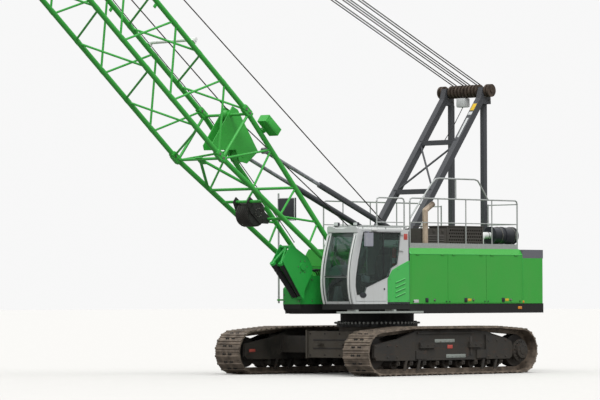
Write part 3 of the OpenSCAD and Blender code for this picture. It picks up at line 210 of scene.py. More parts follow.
def shoe_steel():
    """Cast and hardened track steel: ground bright on the faces that bear, brown rust and dry soil between."""
    skin = Skin("cast_shoe_steel", Metallic=0.35)
    worn, soil = skin.patches(0.40, 0.62, 180, 6.0), skin.patches(0.45, 0.66, 45, 5.0)
    colour = skin.over("5f564d", "8a7d70", worn)
    skin.coat(skin.over(colour, "77685a", soil, 0.5), soil, 0.48, 0.85)
    return skin.relief(skin.speckle(16, 5.0), 3.0, 0.4, 4.0)


def galvanised(name, base, shade):
    """Hot-dip galvanised steel: pale spangles about 15 mm across, dulled to a light grey."""
    skin = Skin(name, Metallic=0.45)
    spangle = node(skin.tree, "ShaderNodeTexVoronoi", [("Vector", skin.place)], in_Scale=1000.0 / 15)
    grain = node(skin.tree, "ShaderNodeSeparateColor", [(0, spangle.outputs["Color"])]).outputs[0]
    skin.coat(skin.over(base, shade, grain, 0.6), grain, 0.38, 0.58)
    return skin.relief(skin.speckle(60, 3.0), 1.0, 0.1, 2.0)


def machined(name, base, grime, roughness=0.38, metallic=0.8):
    """Turned or forged steel under a film of grease: fine tool marks, dark grime in the hollows."""
    skin = Skin(name, Metallic=metallic)
    film = skin.patches(0.4, 0.65, 120, 5.0)
    skin.coat(skin.over(base, grime, film, 0.75), film, roughness, roughness + 0.25)
    return skin.relief(skin.speckle(6.0, 3.0, (6, 1, 1)), 0.5, 0.15, 3.0)


def wire_rope(name, base, grease, strand_mm=60.0):
    """Greased wire rope: strands laid at a slant, drawn about strand_mm wide so that they show, dark between."""
    skin = Skin(name, Metallic=0.25)
    strands = node(skin.tree, "ShaderNodeTexWave", [("Vector", skin.place)], bands_direction="DIAGONAL",
                   in_Scale=BAND_SCALE / strand_mm, in_Distortion=0.6, in_Detail=2.0).outputs["Fac"]
    film = skin.patches(0.4, 0.65, 200, 4.0)
    skin.coat(skin.over(skin.over(grease, base, strands), grease, film, 0.5), film, 0.42, 0.65)
    return skin.relief(strands, 2.0, 0.5)


def moulded(name, base, scuff, roughness=0.5, grain_mm=3.0, depth_mm=0.4):
    """Moulded plastic or rubber: a fine leathery grain, paler where it is scuffed."""
    skin = Skin(name, IOR=1.49)
    rubbed = skin.patches(0.5, 0.72, 150, 5.0)
    skin.coat(skin.over(base, scuff, rubbed, 0.6), rubbed, roughness, roughness + 0.2)
    return skin.relief(skin.speckle(grain_mm, 2.0), depth_mm, 0.25, 3.0)


def seat_cloth():
    """Woven polyester over foam: warp and weft drawn about 8 mm wide so that the weave shows, soft sheen, worn
    paler in patches."""
    skin = Skin("woven_seat_cloth", Roughness=0.85, Sheen_Weight=0.4)
    threads = [(k, node(skin.tree, "ShaderNodeTexWave", [("Vector", skin.place)], bands_direction=way,
                        in_Scale=BAND_SCALE / 8, in_Distortion=0.4).outputs["Fac"])
               for k, way in enumerate(("Y", "DIAGONAL"))]
    weave = node(skin.tree, "ShaderNodeMath", threads, operation="MULTIPLY").outputs[0]
    worn = node(skin.tree, "ShaderNodeMapRange", [("Value", skin.speckle(180, 4.0))],
                in_1=0.5, in_2=0.8, in_4=0.35).outputs[0]
    skin.coat(skin.over(skin.over("1d2024", "3b3f45", weave), "55585a", worn))
    return skin.relief(weave, 1.0, 0.4)


def pane():
    """Toughened glass, lightly tinted, with a thin film of dust in rain marks."""
    skin = Skin("tinted_cab_glass", IOR=1.45, Transmission_Weight=0.97)
    film = skin.patches(0.45, 0.8, 260, 5.0, (1, 1, 3))
    return skin.coat(skin.over("a9bfb7", "8c9492", film, 0.15), film, 0.01, 0.06)


def mirror_glass():
    """Silvered mirror glass with a faint bloom of dust."""
    skin = Skin("silvered_mirror_glass", Metallic=1.0)
    bloom = skin.patches(0.45, 0.8, 120, 4.0)
    return skin.coat(skin.over("c9d2d6", "a9aeae", bloom), bloom, 0.04, 0.2)


def lens(name, base, deep):
    """Moulded polycarbonate lens: glossy, with ribs about 12 mm wide inside."""
    skin = Skin(name, IOR=1.58, Roughness=0.15, Coat_Weight=0.6)
    ribs = node(skin.tree, "ShaderNodeTexWave", [("Vector", skin.place)], bands_direction="Z",
                in_Scale=BAND_SCALE / 12).outputs["Fac"]
    skin.coat(skin.over(deep, base, ribs))
    return skin.relief(ribs, 1.0, 0.3)


def exhaust_steel():
    """Aluminised exhaust tube: pale tan where heat has dulled it, sooty brown towards the mouth."""
    skin = Skin("aluminised_exhaust_steel", Metallic=0.35)
    heat, soot = skin.patches(0.4, 0.65, 90, 5.0, (1, 1, 4)), skin.fade(3.92, 4.16, 0.0, 1.0)
    skin.coat(skin.over(skin.over("c3b29e", "8e7a66", heat, 0.7), "4c4038", soot), heat, 0.42, 0.62)
    return skin.relief(skin.speckle(14, 3.0), 0.8, 0.2)


def studio_paper():
    """Matt painted studio floor: pale to the camera, where it holds the crane's shadow, and a mid grey for the
    light that it throws back up, so that undersides stay dark."""
    skin = Skin("matt_studio_floor", Roughness=0.95, Specular_IOR_Level=0.1)
    pale = skin.over("cccbc9", "d3d2cf", skin.speckle(400, 4.0))
    return skin.coat(skin.over("7d7c79", pale, node(skin.tree, "ShaderNodeLightPath").outputs["Is Camera Ray"]))


def chosen(name):
    """A colour of the settings, as linear RGBA."""
    return [*getattr(bpy.context.scene.crane_settings, name), 1.0]


FINISHES = {
    "green": lambda: enamel("green_enamel", chosen("house_green"), "6f8a58", dusty=0.2, roughness=0.4),
    "boom": lambda: enamel("green_boom_enamel", chosen("boom_green"), "669459", clear_z=9.0, dusty=0.15, edge_mm=3.0),
    "pale_green": lambda: enamel("fresh_green_enamel", "3fb453", "8fa37e", dusty=0.15),
    "deep_green": lambda: enamel("shaded_green_enamel", "1f9f3c", "4a8a4c", roughness=0.35, dusty=0.15),
    "white": lambda: enamel("white_enamel", chosen("cab_white"), "94918a", chips=0.12, roughness=0.3),
    "bright": lambda: enamel("bright_white_enamel_and_painted_highlight", "e2e4e2", "a8a59c", chips=0.08, roughness=0.3, dusty=0.15),
    # Pale green for the louvre edges of the cab panel: painted highlight.
    "lit_green": lambda: enamel("painted_highlight_green_enamel", "7cdc8a", "a5c09a", chips=0.0, dusty=0.1),
    "zinc": lambda: galvanised("zinc_plated_steel", "dadcd8", "b0b2ae"),
    "slate": lambda: enamel("slate_enamel", "3f4145", "65625c", chips=0.3, roughness=0.42, dusty=0.25),
    # Near-black enamel of the deck frame and the tank fittings; on the shoe bolts it is painted shade.
    "band": lambda: enamel("black_deck_enamel_and_painted_shade", "101010", "2a2824", chips=0.15, roughness=0.55, dusty=0.12),
    "cap": lambda: enamel("grey_slab_enamel", "62636a", "7d7b76", chips=0.15, roughness=0.5, dusty=0.25),
    "hood": lambda: enamel("brown_black_enamel", "423f3a", "57514a", chips=0.2, roughness=0.5, dusty=0.25),
    "yellow": lambda: enamel("yellow_enamel", "d7b21e", "98864a", chips=0.3),
    "red": lambda: enamel("red_enamel", "b4473f", "8a6255", chips=0.1, edge_mm=1.0),
    "frame": lambda: crusted("mud_caked_chassis_paint", "292724", "3f382f", "452c1f"),
    "beam": lambda: crusted("grey_chassis_paint", "363432", "4b4238", "48311f", muddy=0.5),
    "housing": lambda: crusted("grey_housing_paint", "58534b", "655b4e", "4c3728", muddy=0.45),
    "strip": lambda: crusted("pale_grey_strip_paint", "868d88", "6f685c", "5f493a", muddy=0.3),
    "rail": lambda: galvanised("galvanised_tube", "b4b8b6", "8f9390"),
    "grating": lambda: galvanised("galvanised_grating", "b4bab5", "8d958f"),
    "bare": lambda: machined("forged_steel", "8b8a86", "4b4640"),
    "drum": lambda: machined("painted_drum_casting", "353634", "1d1c1a", 0.5, 0.3),
    "sheave": lambda: machined("cast_sheave_steel", "4b4c4c", "26241f", 0.45, 0.5),
    "rusty": lambda: machined("weathered_sheave_iron", "55483d", "2b231d", 0.55, 0.3),
    "rope": lambda: wire_rope("greased_wire_rope", "3f3c37", "1c1a17"),
    "wound": lambda: wire_rope("wound_wire_rope", "4a4844", "1d1b19", 16.0),
    "rod": lambda: machined("plated_piston_rod", "9a9da2", "6c6d6e", 0.3, 0.6),
    "black": lambda: moulded("black_rubber_and_painted_shade", "17181a", "3a3a39", 0.6),
    "plastic": lambda: moulded("moulded_black_plastic_and_painted_shade", "25282d", "44474b", 0.42),
    "filter": lambda: moulded("moulded_filter_plastic", "1c1f26", "383b42", 0.38, 20.0, 1.0),
    "grey": lambda: moulded("moulded_grey_plastic", "93949f", "a5a7a8", 0.5),
    "cloth": seat_cloth,
    "shoe": shoe_steel,
    "exhaust": exhaust_steel,
    "glass": pane,
    "mirror": mirror_glass,
    "amber": lambda: lens("amber_polycarbonate", "f0a020", "a85c08"),
    "lamp": lambda: lens("clear_lamp_glass", "e8ecec", "b4bab8"),
}

NODE_FINISHES = {
    "green": "house_shell counterweight front_tank left_door_front left_door_middle left_door_rear "
             "right_door_front right_door_middle right_door_rear",
    "pale_green": "cab_panel",
    # The nose and its fairlead take a darker copy of the house green: painted shade, for the shade that the cab and the
    # boom cast on them.
    "deep_green": "nose_box nose_fairlead",
    "boom": "boom_base boom_insert_1 boom_insert_2 boom_head boom_guide_sheave",
    "white": "cab_shell cab_door",
    "bright": "cab_trims filter_elbow boom_cross_tube",
    "slate": "gantry_front gantry_rear left_backstop_tube right_backstop_tube stay_bars stay_bridle",
    "band": "deck_frame",
    "cap": "weight_cap",
    "hood": "roof_hood",
    "exhaust": "exhaust_pipe",
    "filter": "air_filter",
    "rail": "guard_rails cab_rail",
    "grating": "cab_step",
    "black": "fairlead_rollers",
    "grey": "cab_mirror",
    "glass": "cab_glass cab_door_glass",
    "cloth": "cab_seat",
    "frame": "left_track_frame right_track_frame",
    "beam": "left_track_wheels right_track_wheels",
    "housing": "car_body",
    "shoe": "left_track_shoes right_track_shoes",
    "sheave": "slew_ring head_sheaves engine",
    "rusty": "gantry_sheaves",
    "drum": "front_drum rear_drum boom_winch",
    "rod": "left_backstop_rod right_backstop_rod",
    "rope": "hoist_falls",
    "yellow": "hook_block",
    "bare": "hook",
}


@functools.cache
def finish_of(key):
    """A finish by its short name, made once."""
    return FINISHES[key]()


def finish_nodes():
    """Gives every CAD node its finish."""
    left = set(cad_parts)
    for key, names in NODE_FINISHES.items():
        for name in names.split():
            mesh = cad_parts[name].data
            mesh.materials.clear()
            mesh.materials.append(finish_of(key))
            left.discard(name)
    if left:
        raise RuntimeError(f"no finish for {sorted(left)}")


# Mesh helpers

def polar(radius, angle):
    """A point of a circle round nought."""
    return radius * math.cos(angle), radius * math.sin(angle)


def circle(count, phase=0.0):
    """Angles that share a full turn."""
    return [math.tau * (k + phase) / count for k in range(count)]


def tilt(degrees):
    """A turn about the Y axis."""
    return Matrix.Rotation(math.radians(degrees), 4, "Y")


def put_object(name, build, key):
    """Turns a mesh under construction into an object with a finish, shaded smooth."""
    mesh = bpy.data.meshes.new(name)
    build.to_mesh(mesh)
    build.free()
    for face in mesh.polygons:
        face.use_smooth = True
    mesh.materials.append(finish_of(key))
    made = bpy.data.objects.new(name, mesh)
    bpy.context.scene.collection.objects.link(made)
    return made


class Form:
    """A mesh under construction, made of boxes, rods, rings and prisms, that becomes one piece."""

    def __init__(self):
        self.build = bmesh.new()

    def box(self, low, high, turn=None, edge=0.0):
        """A block between two corners, turned about its centre, with its edges rounded."""
        low, high = Vector(low), Vector(high)
        made = bmesh.ops.create_cube(self.build, size=1.0)["verts"]
        shift = Matrix.Translation((low + high) / 2) @ (turn or Matrix.Identity(4))
        bmesh.ops.transform(self.build, verts=made, matrix=shift @ Matrix.Diagonal((*(high - low), 1.0)))
        if edge:
            edges = list({e for v in made for e in v.link_edges})
            bmesh.ops.bevel(self.build, geom=edges, offset=edge, segments=2, affect="EDGES", profile=0.5)
        return self

    def boxes(self, edge, *corners):
        """Blocks, each given by both its corners in one row."""
        for row in corners:
            self.box(row[:3], row[3:], edge=edge)
        return self

    def slab(self, centre, half, edge):
        """A block given by its centre and half its size."""
        return self.box(Vector(centre) - Vector(half), Vector(centre) + Vector(half), edge=edge)

    def rod(self, start, end, radius, sides=16, end_radius=None):
        """A round rod or cone between two points."""
        start, end = Vector(start), Vector(end)
        way = end - start
        made = bmesh.ops.create_cone(
            self.build, cap_ends=True, segments=sides, radius1=radius,
            radius2=radius if end_radius is None else end_radius, depth=way.length)["verts"]
        turn = Vector((0, 0, 1)).rotation_difference(way).to_matrix().to_4x4()
        bmesh.ops.transform(self.build, verts=made, matrix=Matrix.Translation((start + end) / 2) @ turn)
        return self

    def pin(self, x, low, high, z, radius, sides=16, end_radius=None):
        """A rod along Y from low to high."""
        return self.rod((x, low, z), (x, high, z), radius, sides, end_radius)

    def hose(self, points, radius, sides=12, closed=False):
        """A tube through a list of points, with a ring of vertices at each."""
        points = [Vector(p) for p in points]
        count = len(points)
        rings = []
        side = None
        for k, spot in enumerate(points):
            before = points[(k - 1) % count] if closed or k else spot
            after = points[(k + 1) % count] if closed or k < count - 1 else spot
            way = (after - before).normalized()
            if side is None:
                side = way.orthogonal().normalized()
            side = (side - way * side.dot(way)).normalized()
            other = way.cross(side)
            rings.append([self.build.verts.new(spot + radius * (math.cos(a) * side + math.sin(a) * other))
                          for a in circle(sides)])
        for first, second in zip(rings, rings[1:] + (rings[:1] if closed else [])):
            for n in range(sides):
                m = (n + 1) % sides
                self.build.faces.new((first[n], first[m], second[m], second[n]))
        if not closed:
            self.build.faces.new(rings[0][::-1])
            self.build.faces.new(rings[-1])
        return self

    def prism(self, outline, low, high, axis="Y"):
        """An outline drawn out along an axis. Outlines are in XZ for Y and YZ for X."""
        near, far = ([self.build.verts.new((u, depth, v) if axis == "Y" else (depth, u, v)) for u, v in outline]
                     for depth in (low, high))
        self.build.faces.new(near)
        self.build.faces.new(far[::-1])
        for k in range(len(outline)):
            self.build.faces.new((near[k], near[k - 1], far[k - 1], far[k]))
        return self

    def ring(self, centre, axis, radius, tube, turns=32, sides=10):
        """A ring of round tube about an axis."""
        axis = Vector(axis).normalized()
        side = axis.orthogonal().normalized()
        other = axis.cross(side)
        return self.hose([Vector(centre) + radius * (math.cos(a) * side + math.sin(a) * other)
                          for a in circle(turns)], tube, sides, True)

    def bolts(self, size, way, *spots):
        """Hexagon bolt heads with their washers, on a surface at each spot."""
        way = Vector(way).normalized()
        for spot in spots:
            spot = Vector(spot)
            neck = spot + way * size * 0.16
            self.rod(spot, neck, size * 0.72, 16)
            self.rod(neck, spot + way * size * 0.75, size * 0.5, 6, size * 0.46)
        return self

    def bolt_circle(self, size, way, centre, y, radius, count, phase=0.0):
        """Bolt heads round a centre in XZ."""
        return self.bolts(size, (0, way, 0), *(
            (centre[0] + dx, y, centre[1] + dz) for dx, dz in (polar(radius, a) for a in circle(count, phase))))

    def finish(self, name, body, key):
        """Turns the form into an object that rides on a body."""
        bmesh.ops.recalc_face_normals(self.build, faces=self.build.faces[:])
        made = put_object(name, self.build, key)
        made.data.set_sharp_from_angle(angle=math.radians(40))
        if body:
            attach(made, body)
        return made

    def finish_on_boom(self, name, key):
        """Turns a form in the boom's own axes into an object that rides on the boom."""
        self.finish(name, "boom", key).data.transform(BOOM_SPACE)


def on_boom(s, t):
    """The X and Z of a point s metres up the boom from its foot pin, t above its centre line."""
    spot = BOOM_SPACE @ Vector((s, 0, t))
    return spot.x, spot.z


# Ropes

def over_sheaves(first, radius_1, second, radius_2):
    """The two points where a rope touches two sheaves in XZ, on their upper side."""
    first, second = Vector(first), Vector(second)
    gap = second - first
    angle = math.atan2(gap.y, gap.x) - math.asin((radius_1 - radius_2) / gap.length)
    normal = Vector((-math.sin(angle), math.cos(angle)))
    return first + normal * radius_1, second + normal * radius_2


def winding(centre, radius, half_width, turns, steps):
    """Points along rope that is wound in one layer on a drum across the crane."""
    points = []
    for k in range(turns * steps + 1):
        dx, dz = polar(radius, math.tau * k / steps)
        points.append((centre[0] + dx, half_width * (2 * k / (turns * steps) - 1), centre[1] + dz))
    return points


def string_ropes(radius):
    """The hoist ropes, the luffing ropes and the rope on the two winches."""
    head, guide, bracket = on_boom(*HEAD_AXLE), on_boom(*GUIDE_WHEEL), on_boom(*BRACKET_WHEEL)
    for name, drum, y, wheel, wheel_r in (("outer", REAR_WINCH, 0.2, bracket, 0.16),
                                          ("inner", FRONT_WINCH, 0.0, guide, 0.11)):
        a, b = over_sheaves(drum, DRUM_RADIUS + 2 * radius, wheel, wheel_r + radius)
        start, end = (a.x, y, a.y), (b.x, y, b.y)
        rope = Form().hose([start, end], radius, 10).finish(f"hoist_rope_{name}", None, "rope")
        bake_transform(rope)
        a, b = over_sheaves(wheel, wheel_r + radius, head, HEAD_SHEAVE - radius / 2)
        Form().hose([(a.x, y, a.y), (b.x, y / 2, b.y)], radius, 10).finish(f"head_rope_{name}", "boom", "rope")

    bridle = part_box("stay_bridle")
    far_x, far_z = (bridle[0][0] + bridle[1][0]) / 2, (bridle[0][2] + bridle[1][2]) / 2
    falls = Form()
    a, b = over_sheaves(APEX, LUFFING_SHEAVE + radius, (far_x, far_z), LUFFING_SHEAVE + radius)
    for y in (-0.48, -0.37, -0.15, -0.04, 0.07, 0.29, 0.40):
        falls.hose([(a.x, y, a.y), (b.x, y * 1.05, b.y)], radius, 8)
    made = falls.finish("luffing_falls", None, "rope")
    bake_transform(made)

    for body, drum in (("front_winch", FRONT_WINCH), ("rear_winch", REAR_WINCH)):
        turns = winding(drum, DRUM_RADIUS + radius, DRUM_HALF, int(DRUM_HALF / radius), 16)
        Form().hose(turns, radius * 0.98, 6).finish(f"{body}_winding", body, "wound")


# Tracks and carbody

def tangent(first, second):
    """The outward angle of the chain's straight run from one circle of its loop to the next."""
    (ax, az, ar), (bx, bz, br) = first, second
    return math.atan2(bz - az, bx - ax) - math.acos((ar - br) / math.hypot(bx - ax, bz - az))


def shoe_line():
    """The shoes' pitch, and the middle of each shoe in XZ with its outward angle, along the track's loop."""
    runs = []
    for i, wheel in enumerate(TRACK_LOOP):
        after = TRACK_LOOP[(i + 1) % len(TRACK_LOOP)]
        first, last = tangent(TRACK_LOOP[i - 1], wheel), tangent(wheel, after)
        turn = (last - first) % math.tau
        straight = math.sqrt((after[0] - wheel[0]) ** 2 + (after[1] - wheel[1]) ** 2 - (after[2] - wheel[2]) ** 2)
        runs += [(wheel[2] * turn, wheel, wheel, first, turn), (straight, wheel, after, last, 0.0)]
    pitch = sum(run[0] for run in runs) / SHOES
    spots = []
    for k in range(SHOES):
        way = (k + 0.5) * pitch
        for length, start, end, angle, turn in runs:
            if way <= length:
                break
            way -= length
        share = way / length
        x, z, r = (p + (q - p) * share for p, q in zip(start, end))
        dx, dz = polar(r, angle + turn * share)
        spots.append((x + dx, z + dz, angle + turn * share))
    return pitch, spots


def add_track_fittings(pairs_per_shoe):
    """Bolts the shoes, hubs and carbody, and adds the hoses and small plates of the track frames."""
    pitch, spots = shoe_line()
    for side, sy in SIDES:
        body = f"{side}_track"
        bolts = Form()
        for x, z, a in spots:
            out, along = Vector((math.cos(a), 0, math.sin(a))), Vector((-math.sin(a), 0, math.cos(a)))
            base = Vector((x, TRACK_MID * sy, z)) + out * SHOE_PLATE + along * (pitch * 0.32)
            for n in range(pairs_per_shoe):
                spread = (n - (pairs_per_shoe - 1) / 2) * 0.19
                bolts.bolts(0.033, out, *(base + Vector((0, spread + gap, 0)) for gap in (-0.03, 0.03)))
        # The shoe bolts are real, and their near-black colour is painted shade for the recesses round them on each
        # shoe.
        bolts.finish(f"{side}_shoe_bolts", body, "band")

        face = sy * FRAME_FACE
        out = (0, sy, 0)
        fittings = Form()
        for size, y, radius, count, phase in ((0.034, 2.390, 0.225, 16, 0.5), (0.024, 2.465, 0.14, 8, 0.0),
                                              (0.018, 2.476, 0.045, 3, 1.5 / math.tau)):
            fittings.bolt_circle(size, sy, SPROCKET, sy * y, radius, count, phase)
        for columns, rows in (((2.72, 2.30, 1.98), (0.44, 0.70)), ((-1.30, -1.62, -1.94), (0.42, 0.80))):
            fittings.bolts(0.032, out, *((x, sy * 2.414, z) for x in columns for z in rows))
        fittings.bolts(0.040, out, *((-1.83 + k * 3.715 / 8, face - sy * 0.001, 0.3) for k in range(9)))
        for x, wide in ((0.66, 0.475), (-1.03, 0.39)):
            fittings.bolts(0.026, out, *((x + wide * k / 2, sy * 2.429, 0.705) for k in range(3)))
        for x, half in ((1.40, 0.04), (-0.71, 0.03)):
            fittings.slab((x, face, 0.68), (half, 0.02, 0.22), 0.006)
        fittings.finish(f"{side}_frame_bolts", body, "beam")

        bars = Form()
        for x0, x1, z0, z1 in ((-0.11, 0.60, 0.765, 0.845), (-0.51, 0.19, 0.398, 0.484)):
            bars.box((x0, face - 0.008 * (sy < 0) - 0.002, z0), (x1, face + 0.010 * (sy > 0) + 0.002, z1), edge=0.004)
            step = (x1 - x0 - 0.12) / 4
            bars.bolts(0.02, out, *((x0 + 0.06 + step * k, face + sy * 0.01, (z0 + z1) / 2) for k in range(5)))
        bars.finish(f"{side}_frame_strips", body, "strip")

        if sy > 0:
            plate = Form().box((-0.04, face - 0.004, 0.62), (0.14, face + 0.006, 0.705), edge=0.002)
        else:
            plate = Form().box((2.42, -1.768, 0.534), (2.63, -1.760, 0.604), edge=0.002)
        plate.finish(f"{side}_frame_plate", body, "red")

        pipes = Form()
        for k, z in enumerate((0.93, 0.90, 0.87)):
            pipes.hose([(-1.9, sy * 1.775, 0.62 - 0.02 * k), (-1.8, sy * 1.745, 0.78), (-1.6, sy * 1.74, z),
                        (-0.9, sy * 1.74, z), (-0.62, sy * 1.70, z - 0.02)], 0.013)
        pipes.finish(f"{side}_drive_pipes", body, "black")

    collar = Form()
    for ex in (1, -1):
        for ey in (1, -1):
            collar.bolts(0.026, (0, ey, 0), *(
                (ex * x, ey * 0.85, z) for x in (1.0, 1.13, 1.28, 1.43, 1.56) for z in (0.405, 1.03)))
        x = ex * 1.6
        collar.bolts(0.030, (ex, 0, 0), *((x, y, z) for y in (-0.72, -0.24, 0.24, 0.72) for z in (0.46, 0.97)))
        for z in (0.82, 0.62):
            collar.slab((x, 0, z), (0.006, 0.62, 0.02), 0.003)
    collar.finish("car_body_bolts", "carbody", "beam")
    ring = Form()
    for a in circle(60):
        ring.bolts(0.040, (*polar(1, a), 0), (*polar(1.01, a), 1.225))
    ring.finish("slewing_ring_bolts", "carbody", "zinc")


# Machinery house

def add_door_fittings():
    """A latch, a knob and a blank plate on each side door."""
    for side, sy in SIDES:
        face = HOUSE_FACE * sy
        for part, x0, x1, latch, knob_x in (("front", 0.65, -0.66, 0.11, -0.17), ("middle", -0.66, -2.08, -1.31, -1.59),
                                            ("rear", -2.08, -3.40, -2.71, -2.99)):
            body = f"{side}_{part}_door"
            black = Form()
            black.slab((latch, face + 0.004, 1.77), (0.05, 0.01, 0.05), 0.004)
            black.pin(latch, face, face + sy * 0.022, 1.77, 0.028, 20)
            black.slab((latch, face + sy * 0.018, 1.77), (0.012, 0.008, 0.035), 0.003)
            for x in (x0 - 0.06, x1 + 0.06):
                black.pin(x, face - sy * 0.002, face + sy * 0.012, 1.735, 0.016)
            black.finish(f"{body}_latch", body, "plastic")
            knob = Form().pin(knob_x, face, face + sy * 0.012, 1.77, 0.030, 24)
            knob.pin(knob_x, face + sy * 0.012, face + sy * 0.030, 1.77, 0.022, 24, 0.016)
            knob.finish(f"{body}_knob", body, "bare")
            low, high, z0, z1, key = knob_x + 0.07, latch - 0.08, 1.74, 1.80, "yellow"
            if part == "front":
                low, high, z0, z1, key = 0.40, 0.58, 1.705, 1.78, "white"
            plate = Form().box((low, face - 0.003, z0), (high, face + 0.003, z1), edge=0.0015)
            plate.finish(f"{body}_plate", body, key)


def add_house_fittings():
    """The lamps, treads, hood and pipe fittings, joints and hoop of the machinery house."""
    add_door_fittings()
    roof = Form()
    for k in range(26):
        for y in (-0.98, -1.16, -1.34):
            roof.slab((0.55 - 0.15 * k, y, 3.012), (0.05, 0.05, 0.003), 0.002)
    roof.box((0.02, 0.86, 3.009), (0.60, 1.46, 3.030), edge=0.006)
    for x in (0.10, 0.52):
        roof.hose([(x, 1.0, 3.028), (x, 1.0, 3.10), (x, 1.3, 3.10), (x, 1.3, 3.028)], 0.010)
    roof.finish("roof_treads", "upper", "slate")

    hood = Form()
    for x in (-0.16, -0.48, -0.80):
        hood.slab((x, 1.415, 3.42), (0.04, 0.01, 0.04), 0.004)
        hood.pin(x, 1.425, 1.440, 3.42, 0.016)
    for k in range(5):
        z = 3.08 + 0.055 * k
        hood.prism([(1.408, z), (1.428, z - 0.004), (1.424, z + 0.006), (1.408, z + 0.034)], -0.84, -0.12, "X")
    hood.hose([(-0.2, 1.0, 3.488), (-0.2, 1.0, 3.54), (-0.7, 1.0, 3.54), (-0.7, 1.0, 3.488)], 0.010)
    for x in (-2.27, -1.62, -0.97):
        hood.slab((x, 1.415, 3.29), (0.018, 0.009, 0.24), 0.004)
    hood.finish("hood_fittings", "upper", "hood")

    clamps = Form()
    for x in (-3.60, -3.12):
        clamps.ring((x, 1.15, 3.35), (1, 0, 0), 0.209, 0.010, 48, 8)
        clamps.bolts(0.030, (0, 1, 0), (x, 1.36, 3.35))
    clamps.rod((-3.712, 1.15, 3.35), (-3.732, 1.15, 3.35), 0.15, 32, 0.13)
    for centre, axis, radius, tube in (
        ((-2.76, 1.15, 3.35), (1, 0, 0), 0.082, 0.007), ((-2.52, 1.15, 3.07), (0, 0, 1), 0.082, 0.007),
        ((-2.52, 1.15, 3.02), (0, 0, 1), 0.100, 0.012), ((-0.09, 1.48, 3.03), (0, 0, 1), 0.080, 0.016),
    ):
        clamps.ring(centre, axis, radius, tube, 32, 8)
    clamps.finish("pipe_clamps", "upper", "bare")

    lamps = Form()
    for sy in (1, -1):
        lamps.slab((-3.35, sy * 1.696, 1.577), (0.07, 0.008, 0.032), 0.006)
    lamps.pin(-3.48, 1.70, 1.712, 1.72, 0.032, 20, 0.026)
    lamps.finish("marker_lamps", "upper", "amber")

    trims, seams = Form(), Form()
    for sy in (1, -1):
        y = HOUSE_FACE * sy
        trims.box((-3.44, y - 0.006, 2.858), (0.70, y + 0.006, 2.872), edge=0.003)
        trims.prism([(y, 2.868), (y + sy * 0.004, 2.874), (sy * 1.60, 3.014), (sy * 1.60, 3.008)], 0.655, 0.712, "X")
        seams.slab((-3.462, y, 2.24), (0.006, 0.003, 0.54), 0.001)
    trims.finish("house_gutters", "upper", "pale_green")
    seams.finish("slab_joints", "upper", "deep_green")

    y = 1.575
    hoop = Form().hose([(x, y, z) for x, z in (
        (0.56, 3.72), (0.30, 4.01), (-0.22, 4.56), (-0.36, 4.67), (-0.50, 4.69), (-1.80, 4.69), (-1.92, 4.66),
        (-2.00, 4.57), (-2.30, 4.20))], 0.020, 16)
    hoop.rod((-1.10, y, 4.20), (-1.10, y, 4.69), 0.018, 16)
    hoop.finish("roof_rail_hoop", "upper", "rail")


# Cab

PAD_ROUND = 0.05


def cushion(name, centre, size, lean=0.0, crown=0.03, seams=()):
    """A foam pad with crowned faces, pulled in between its corners, and sewn channels across it."""
    build = bmesh.new()
    bmesh.ops.create_cube(build, size=1.0)
    bmesh.ops.subdivide_edges(build, edges=build.edges[:], cuts=11, use_grid_fill=True)
    half = Vector(size) / 2
    for vert in build.verts:
        u, v, w = (2 * c for c in vert.co)
        bulge = crown * ((1 - u ** 4) * (1 - v ** 4) if abs(w) > 0.99 else 0.0)
        if abs(u) > 0.99:
            bulge = crown * (1 - v ** 4) * (1 - w ** 4)
        if abs(v) > 0.99:
            bulge = crown * (1 - u ** 4) * (1 - w ** 4)
        spot = Vector((u * half.x, v * half.y, w * half.z))
        inner = Vector([max(PAD_ROUND - h, min(h - PAD_ROUND, c)) for h, c in zip(half, spot)])
        way = (spot - inner).normalized()
        spread = (1 - u * u * 0.9) * (1 - v * v * 0.9)
        spot = inner + way * PAD_ROUND + way * bulge * min(1.0, spread + 0.4)
        for at in seams:
            spot -= way * 0.010 * math.exp(-((v * half.y - at) / 0.012) ** 2)
        vert.co = spot
    bmesh.ops.transform(build, verts=build.verts[:],
                        matrix=Matrix.Translation(centre) @ Matrix.Rotation(lean, 4, "Y"))
    made = put_object(name, build, "cloth")
    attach(made, "upper")
    return made


